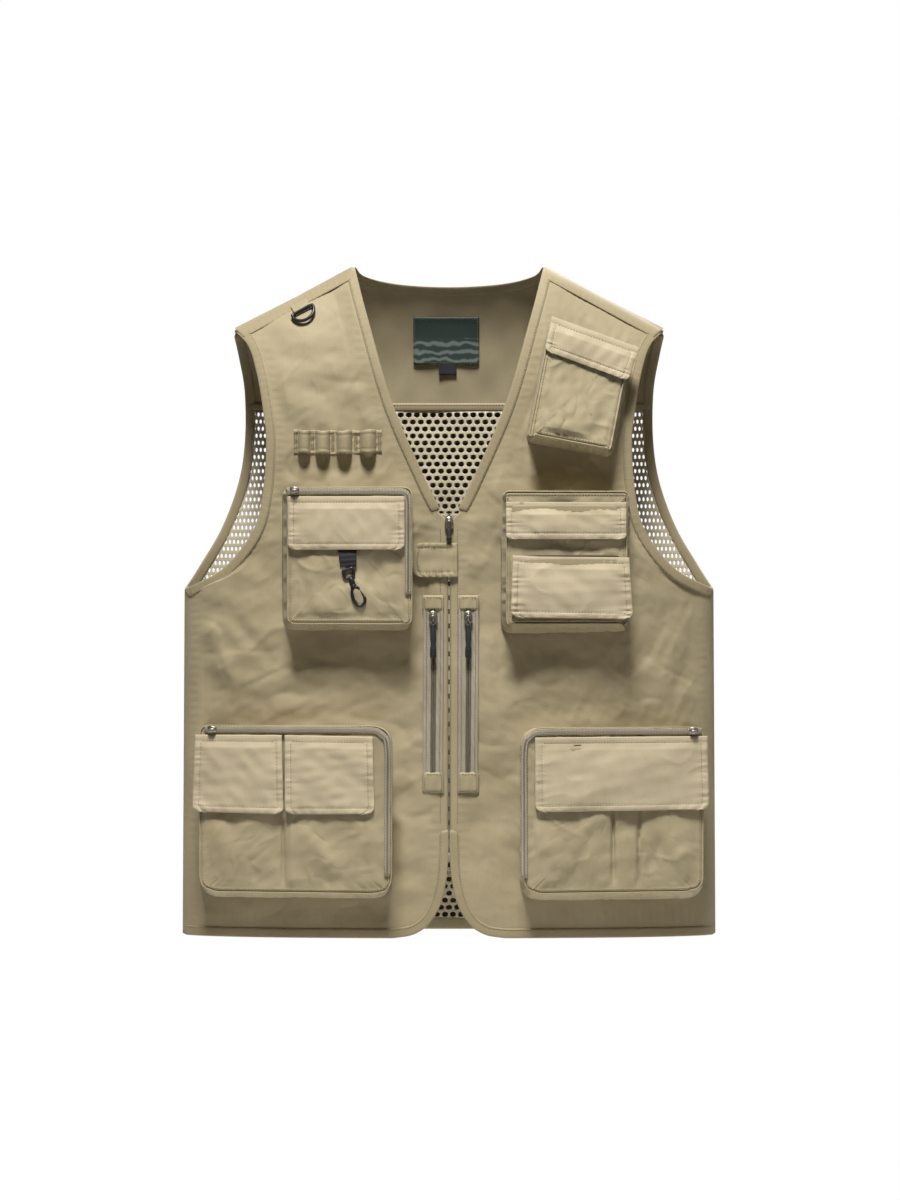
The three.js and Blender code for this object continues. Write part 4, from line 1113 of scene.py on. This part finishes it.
def weltZip(side):
    # a window between two folded welts: tape, two rows of coil with a thin black tube between them as painted shade
    # in the slit, and a tab over each end
    x0 = -16.5 if side == "right" else 20.0
    z = np.linspace(-348, -551, 90)[:, None]
    across = np.linspace(-10.5, 10.5, 30)[None]
    lip = 0.9 * np.exp(-((np.abs(across) - 9.0) / 1.2) ** 2)
    valley = -0.5 * np.exp(-(across / 5.0) ** 4)
    out = block["cloth"] + 1.4 + lip + valley + 0.15 * np.sin(z / 2.9 + across)
    p = onFront(x0 + across + 0.35 * np.sin(z / 37), z, out)
    obj = frontShell(side + "_welt_tape", p, 0.8, weltTape, replaces=(side + "_welt_zip",))
    closedShells(obj)
    line = np.linspace(-362, -530, 120)
    out3 = np.tile([0.0, -1, 0], (120, 1))
    wob = x0 + 0.35 * np.sin(line / 37)
    rows = [barRun(onFront(wob + k * 1.75, line, block["cloth"] + 1.7), out3, pitch=1.5, length=2.6, high=0.8)
            for k in (-1, 1)]
    makeMesh(side + "_welt_coil", *joined(rows), coilNylon, smooth=False)
    # a thin black tube down the middle: painted shade in the slit between the coils
    slit = tubeAlong(onFront(wob, line, block["cloth"] + 1.9), 0.42, sides=6)
    obj = makeMesh(side + "_welt_painted_shade_line", *slit, blackWebbing)
    closedShells(obj)
    for k in (-7.0, 7.0):
        bodyStitches.append((onFront(wob + k, line, block["cloth"] + 2.1), out3))
    for zTop, zLow, tag in ((-346, -362, "top"), (-530, -552, "bottom")):
        v = np.linspace(0, 1, 14)[:, None]
        u = np.linspace(-1, 1, 18)[None]
        xx = x0 + 11.0 * u * (1 + 0.02 * v)
        zz = zTop + (zLow - zTop) * v + 0 * u
        lift = 1.7 * (1 - np.abs(u) ** 6) * (1 - np.abs(2 * v - 1) ** 8) + 0.2 * np.sin(u * 7 + v * 3)
        p = onFront(xx, zz, block["cloth"] + 1.2 + lift)
        obj = frontShell("%s_welt_%s_tab" % (side, tag), p, 0.8, bodyNylon)
        closedShells(obj)
        ring = np.array([(x0 - 8.8, zTop - 2.4), (x0 + 8.8, zTop - 2.4), (x0 + 8.8, zLow + 2.4),
                         (x0 - 8.8, zLow + 2.4), (x0 - 8.8, zTop - 2.4)])
        ring = polyLine(ring, 2)
        bodyStitches.append((onFront(ring[:, 0], ring[:, 1], block["cloth"] + 3.0),
                             np.tile([0.0, -1, 0], (len(ring), 1))))
    zSlider = -368.5
    zipSlider(side + "_welt_zip_slider", onPlane(middle, np.array(x0), np.array(zSlider), 2.0), midAxes, False,
              side + "_welt_slider", side + "_welt_slider")
    longPull(side + "_welt_zip_pull", onPlane(middle, np.array(x0), np.array(zSlider + 1), 6.2), 44, middle,
             side + "_welt_pull", side + "_welt_pull")


for side in ("right", "left"):
    weltZip(side)

frontZipCoil = []
for side in ("right", "left"):
    s = sideOf(side)
    z = np.linspace(-261, -617, 130)[:, None]
    across = np.linspace(0.6, 13, 7)[None]
    p = onFront(-s * across + 0 * z, z + 0 * across, -0.9 + 0 * across + 0 * z)
    obj = frontShell(side + "_front_zip_tape", p, 0.6, tapeWeave, replaces=(side + "_front_zip",))
    closedShells(obj)
    path = onFront(-s * 1.05 + 0 * z[:, 0], z[:, 0], 0.3)
    frontZipCoil.append(barRun(path, np.tile([0.0, -1, 0], (130, 1)), pitch=1.7, length=2.6, wide=1.0, high=0.8))
makeMesh("front_zip_coil", *joined(frontZipCoil), coilNylon, smooth=False)
boxParts = [puck(roundedBox(7.5, 10, 1.2), [(0, 0.9), (0.5, 1), (2.4, 1), (2.9, 0.85)],
                 onFront(np.array(0.0), np.array(-619.0), -0.6), *midAxes)]
obj = makeMesh("front_zip_box", *joined(boxParts), coilNylon)
closedShells(obj)
sliderPlace = onPlane(middle, np.array(0.0), np.array(-270.5), -0.2)
zipSlider("front_zip_slider", sliderPlace, midAxes, False, "vest", "front_slider")
longPull("front_zip_pull", onPlane(middle, np.array(0.0), np.array(-269.0), 4.6), 21, middle, "front_slider_pull",
         "front_slider_pull", slim=0.85)
zipSlider("chest_rim_zip_slider", onPlane(planes["chestRight"], np.array(-160.0), np.array(-236.8), cd + 1.2),
          planeAxes(planes["chestRight"]), True, "chest_zip_slider", "chest_zip_slider", size=0.72)
zipSlider("lower_right_rim_zip_slider", onPlane(planes["lowerRight"], np.array(-246.0), np.array(-485.2), ld + 1.2),
          planeAxes(planes["lowerRight"]), True, "lower_right_zip_slider", "lower_right_zip_slider", size=0.72)
zipSlider("lower_left_rim_zip_slider", onPlane(planes["lowerLeft"], np.array(254.0), np.array(-486.8), ld + 1.2),
          planeAxes(planes["lowerLeft"]), True, "lower_left_zip_slider", "lower_left_zip_slider", size=0.72)
print("zips made")


def stormTab():
    # a rounded strap sewn down at its right-hand end, free at the other
    v = np.linspace(-1, 1, 40)[:, None]
    u = np.linspace(0, 1, 50)[None]
    round0 = 1 - np.sqrt(1 - np.clip(np.abs(v), 0, 0.999) ** 6)
    x = -38 + 4 * round0 + (47 - 4 * round0) * u
    z = -309.5 + 18.2 * v * (1 - 0.03 * u) * (1 - 0.10 * np.exp(-u * 12))
    edge = np.minimum((1 - np.abs(v)) * 18.2, 47 * np.minimum(u, 1 - u))
    ridge = 0.7 * np.exp(-((edge - 2.4) / 2.6) ** 2) - 0.5 * np.exp(-((edge - 5.4) / 0.8) ** 2)
    wave = 0.5 * np.sin(u * 40 + v * 2) * np.exp(-(((1 - np.abs(v)) * 18.2 - 3) / 4) ** 2)
    soft = 0.5 * noise(np.stack([x, z], -1), 22, 77)
    out = 2.4 + ridge + wave + soft + 1.3 * np.exp(-((x - 0) / 9) ** 2) * 1.0
    p = onPlane(middle, x, z, out)
    obj = frontShell("storm_tab_cloth", p, 0.9, bodyNylon, body="storm_tab", replaces=("storm_tab",))
    closedShells(obj)
    ring = polyLine([(-31, -296.4), (4, -297), (4, -322), (-31, -322.6), (-33.5, -309), (-31, -296.4)], 2)
    cross = polyLine([(-3, -297), (-3, -322)], 2)
    parts = [stitchRun(onPlane(middle, r[:, 0], r[:, 1], 3.0), np.tile([0.0, -1, 0], (len(r), 1)))
             for r in (ring, cross)]
    makeMesh("storm_tab_stitches", *joined(parts), shadeDarkThreadNylon, body="storm_tab")


stormTab()


def flyLoops():
    # a tape that is sewn down between four half-round sleeves; its height is the largest of four arches
    centres = [(-151, 6.6), (-131.5, 7.6), (-109, 8.0), (-84.5, 8.6)]
    x = np.linspace(-162, -70, 180)[None]
    v = np.linspace(0, 1, 26)[:, None]
    high = 0 * x
    for cx, r in centres:
        high = np.maximum(high, 1.45 * np.sqrt(np.maximum(0, r ** 2 - (x - cx) ** 2)))
    z = -173.5 - 24.5 * v - 1.3 * np.sin((x + 162) / 92 * math.pi) * (1 + 0 * v) + 0.5 * np.sin(x / 3.1) * (2 * v - 1)
    edge = np.minimum(v, 1 - v) * 24.5
    ridge = 0.6 * np.exp(-((edge - 2) / 2) ** 2) - 0.35 * np.exp(-((edge - 4.6) / 0.8) ** 2)
    crease = 0.3 * np.sin(v * 19 + x / 5.0) * (high < 1)
    p = onPlane(loopPlane, x + 0 * v, z, 0.7 + high * (1 - 0.10 * np.abs(2 * v - 1) ** 3) + ridge + crease)
    obj = frontShell("fly_loop_tape", p, 1.0, bodyNylon, replaces=("fly_loop_strip",))
    closedShells(obj)
    parts = []
    for cx in (-160, -142, -121, -97, -72.5):
        for dx in (-0.9, 0.9):
            zz = np.linspace(-175, -196.5, 14)
            pp = onPlane(loopPlane, cx + dx + 0.6 * np.sin(zz * 1.6), zz, 1.7)
            parts.append(stitchRun(pp, np.tile([0.0, -1, 0], (14, 1)), pitch=2.2, length=2.0))
    makeMesh("fly_loop_stitches", *joined(parts), shadeDarkThreadNylon)


loopPlane = restPlane(-162, -70, -199, -173)
flyLoops()


def dRing():
    # a moulded D on a folded webbing tab that is sewn into the shoulder strip
    plane = planes["ring"]
    angle = math.atan(block["slope"])
    ax, az, out = planeAxes(plane, angle)
    centre = onPlane(plane, np.array(-155.0), np.array(-45.0), 0)
    a = np.linspace(math.pi, 2 * math.pi, 22)
    loop = np.stack([12.0 * np.cos(a), -8 + 12.0 * np.sin(a)], -1)
    loop = np.vstack([loop, [(12.0, -5.8), (9, -5.2), (-9, -5.2), (-12.0, -5.8)]])
    path = centre + loop[:, :1] * ax + loop[:, 1:] * az + out * 3.4
    ring = tubeAlong(path, 1.75, sides=10, closed=True, up=out)
    obj = makeMesh("shoulder_d_ring", *ring, blackNylon, body="d_ring", replaces=("d_ring",))
    closedShells(obj)
    v = np.linspace(0, 1, 22)[:, None]
    u = np.linspace(-1, 1, 16)[None]
    yy = 9 - 16 * v + 0 * u
    lift = 0.6 + 2.6 * np.clip(v * 1.2, 0, 1) ** 1.5 + 0.3 * np.sin(v * 16)
    fold = np.clip((v - 0.86) / 0.14, 0, 1)
    lift = lift - 2.6 * fold ** 2
    p = centre + (9.2 * u * (1 - 0.05 * v))[..., None] * ax + yy[..., None] * az + (lift + 0 * u)[..., None] * out
    obj = frontShell("d_ring_webbing", p, 1.2, bodyNylon, replaces=("d_ring_tab",))
    closedShells(obj)


dRing()


def turnedXZ(points, x, z, angle):
    p = np.asarray(points, float)
    c, s = math.cos(angle), math.sin(angle)
    return np.stack([x + p[:, 0] * c - p[:, 1] * s, z + p[:, 0] * s + p[:, 1] * c], -1)


def snapHook():
    # webbing tab, then a moulded swivel: a square eye, a barrel, and a hook whose gate is a thin spring arm
    plane = planes["chestRight"]
    tilt, hx, hz = 0.36, -105.5, -318.8
    v = np.linspace(0, 1, 20)[:, None]
    u = np.linspace(-1, 1, 16)[None]
    x = -105.5 + 9.6 * u * (1 - 0.12 * v) + 1.2 * v
    z = -299 - 17.5 * v + 0 * u
    p = onPlane(plane, x, z, cd + 1.6 + 1.6 * np.sin(v * math.pi * 0.9) + 0.25 * np.sin(v * 22 + u))
    obj = frontShell("hook_webbing", p, 1.3, blackWebbing, replaces=("hook_tab",))
    closedShells(obj)

    def at(points, out=2.0):
        q = turnedXZ(points, hx, hz, tilt)
        return onPlane(plane, q[:, 0], q[:, 1], cd + fitOut + out)

    fitOut = 0.3
    eye = at([(-5, -0.6), (5, -0.6), (5.4, -4), (4.6, -8.4), (0, -9.6), (-4.6, -8.4), (-5.4, -4)])
    eye = np.vstack([eye, eye[:1]])
    eye = polyLine(eye, 1.2)[:-1]
    parts = [tubeAlong(eye, 1.5, sides=8, closed=True, up=(0, -1, 0))]
    barrel = at([(0, -8.6), (0, -11), (0, -13), (0, -16), (0, -19), (0, -21)])
    parts.append(tubeAlong(barrel, [1.6, 2.6, 2.9, 3.0, 2.7, 2.2], sides=12))
    collar = at([(0, -17.5), (0, -18.4), (0, -19.3)])
    parts.append(tubeAlong(collar, [3.0, 3.7, 3.0], sides=12))
    hook = sweepLine([(-0.5, -20), (-2.6, -22.5), (-4.4, -27), (-4.9, -33), (-3.2, -38.6), (0.8, -40.8), (4.6, -39),
                      (6.3, -35.6), (6.4, -32.8)], 40)
    width = np.interp(np.linspace(0, 1, 40), [0, 0.2, 0.7, 1], [2.4, 2.0, 1.8, 1.5])
    parts.append(tubeAlong(at(hook), width, sides=10))
    parts.append(tubeAlong(at([(0.5, -20), (2.8, -21.5), (4.4, -23.6)]), [2.2, 2.0, 1.7], sides=8))
    obj = makeMesh("snap_hook_body", *joined(parts), blackNylon, body="snap_hook", replaces=("snap_hook",))
    closedShells(obj)
    gate = tubeAlong(at([(4.4, -23.8), (5.2, -28), (6.2, -32.2)]), [1.25, 1.1, 1.0], sides=8)
    obj = makeMesh("snap_hook_gate", *gate, blackNylon, body="hook_gate", replaces=("hook_gate",))
    closedShells(obj)


snapHook()
print("hardware made")


def wovenLabel():
    # damask-woven polyester: a dark green ground with a paler plain field of waves and a fine edge line
    mat, tree = newMaterial("damask_woven_label")
    where = addNode(tree, "ShaderNodeTexCoord").outputs["Object"]
    axes = addNode(tree, "ShaderNodeSeparateXYZ", None, {0: where})
    wave = addNode(tree, "ShaderNodeTexWave", {"Scale": 38.0, "Distortion": 4.5, "Detail": 1.5, "Detail Scale": 2.0,
                                               "bands_direction": "Z"}, {"Vector": where})
    bands = addNode(tree, "ShaderNodeValToRGB", None, {"Fac": wave.outputs["Fac"]})
    bands.color_ramp.elements[0].position = 0.35
    bands.color_ramp.elements[0].color = linear("#2c3b37")
    bands.color_ramp.elements[1].position = 0.85
    bands.color_ramp.elements[1].color = linear("#6f7975")
    low = addNode(tree, "ShaderNodeMath", {"operation": "LESS_THAN", 1: -0.072}, {0: axes.outputs["Z"]})
    rib = addNode(tree, "ShaderNodeTexWave", {"Scale": 240.0, "bands_direction": "DIAGONAL"}, {"Vector": where})
    mix = addNode(tree, "ShaderNodeMix", {"data_type": "RGBA", 6: linear("#23352f")},
                  {0: low.outputs[0], 7: bands.outputs["Color"]})
    bump = addNode(tree, "ShaderNodeBump", {"Strength": 0.25, "Distance": 0.0003}, {"Height": rib.outputs["Fac"]})
    shader = addNode(tree, "ShaderNodeBsdfPrincipled", {"Roughness": 0.55, "Sheen Weight": 0.2},
                     {"Base Color": mix.outputs[2], "Normal": bump.outputs["Normal"]})
    addNode(tree, "ShaderNodeOutputMaterial", None, {"Surface": shader.outputs[0]})
    v = np.linspace(0, 1, 24)[:, None]
    u = np.linspace(0, 1, 34)[None]
    x = -38 + 70 * u + 0 * v
    z = -50 - 50 * v + 0 * u
    p = onBack(x, z, -1.1 - 0.5 * np.sin(u * 3.1) * np.sin(v * 3.1) - 0.15 * np.sin(u * 25) * (v < 0.1))
    obj = shell("woven_neck_label", p, 0.7, mat, flip=True, replaces=("neck_label",))
    closedShells(obj)
    ring = polyLine([(-36.5, -51.6), (30.5, -51.6), (30.5, -98.4), (-36.5, -98.4), (-36.5, -51.6)], 2)
    bodyStitches.append((onBack(ring[:, 0], ring[:, 1], -1.9), np.tile([0.0, -1, 0], (len(ring), 1))))
    v = np.linspace(0, 1, 8)[:, None]
    u = np.linspace(0, 1, 10)[None]
    p = onBack(-11 + 19 * u + 0 * v, -99 - 12 * v + 0 * u, -1.5 - 0.6 * v + 0 * u)
    obj = shell("woven_size_tag", p, 0.5, blackWebbing, flip=True, replaces=("size_tag",))
    closedShells(obj)


wovenLabel()

allStitches = [stitchRun(path, out) for path, out in bodyStitches]
makeMesh("topstitching", *joined([a for a in allStitches if len(a[0])]), shadeDarkThreadNylon)
print("stitches made", sum(len(a[1]) for a in allStitches) // 8)


# the camera stands far off with a long lens, level with the middle of the vest
view = {"x": 0.001, "z": -0.351, "away": 5.2, "tall": 1.248, "plane": -0.075}


def makeCamera():
    data = bpy.data.cameras.new("camera")
    data.sensor_fit = "VERTICAL"
    data.sensor_height = 24
    data.lens = 24 * (view["away"] + view["plane"]) / view["tall"]
    data.clip_end = 50
    cam = bpy.data.objects.new("camera", data)
    cam.location = (view["x"], -view["away"], view["z"])
    cam.rotation_euler = (math.pi / 2, 0, 0)
    bpy.context.scene.collection.objects.link(cam)
    bpy.context.scene.camera = cam


def makeStage():
    # a pale matt floor, well below the hem; the vest hangs clear of it
    mat, tree = newMaterial("matt_white_paper")
    shader = addNode(tree, "ShaderNodeBsdfPrincipled", {"Base Color": linear("#f1f0ee"), "Roughness": 0.9})
    addNode(tree, "ShaderNodeOutputMaterial", None, {"Surface": shader.outputs[0]})
    x, y = np.meshgrid(np.linspace(-1500, 1500, 3), np.linspace(-1500, 1250, 3))
    p = np.stack([x, y, 0 * x - 1150], -1)
    mesh = bpy.data.meshes.new("paper_floor")
    mesh.from_pydata((p.reshape(-1, 3) * mm).tolist(), [], gridFaces(3, 3).tolist())
    mesh.materials.append(mat)
    floor = bpy.data.objects.new("paper_floor", mesh)
    bpy.context.scene.collection.objects.link(floor)


def areaLight(name, where, aim, size, power, spread=180):
    data = bpy.data.lights.new(name, "AREA")
    data.shape = "RECTANGLE"
    data.size, data.size_y = size
    data.energy = power
    data.spread = math.radians(spread)
    light = bpy.data.objects.new(name, data)
    light.location = where
    light.rotation_euler = (Vector(aim) - Vector(where)).to_track_quat("-Z", "Y").to_euler()
    bpy.context.scene.collection.objects.link(light)


makeCamera()
makeStage()
areaLight("key_softbox", (-0.2, -1.95, 3.65), (0, 0, -0.4), (1.0, 1.0), 45, spread=60)
areaLight("back_softbox", (0.9, 2.6, 1.6), (0, 0, -0.4), (1.6, 1.6), 26, spread=90)
areaLight("fill_softbox", (1.4, -3.2, 0.6), (0, 0, -0.4), (1.8, 1.8), 1.6)
# a white studio round it, which gives little light of its own
world = bpy.data.worlds.new("studio")
world.use_nodes = True
world.node_tree.nodes.clear()
rays = addNode(world.node_tree, "ShaderNodeLightPath")
seen = addNode(world.node_tree, "ShaderNodeBackground", {"Color": (1, 1, 1, 1), "Strength": 1.0})
glow = addNode(world.node_tree, "ShaderNodeBackground", {"Color": linear("#fff6e2"), "Strength": 0.085})
both = addNode(world.node_tree, "ShaderNodeMixShader", None, {0: rays.outputs["Is Camera Ray"], 1: glow.outputs[0],
                                                             2: seen.outputs[0]})
addNode(world.node_tree, "ShaderNodeOutputWorld", None, {"Surface": both.outputs[0]})
bpy.context.scene.world = world
bpy.context.scene.view_settings.view_transform = "Standard"
print("camera and lights made")
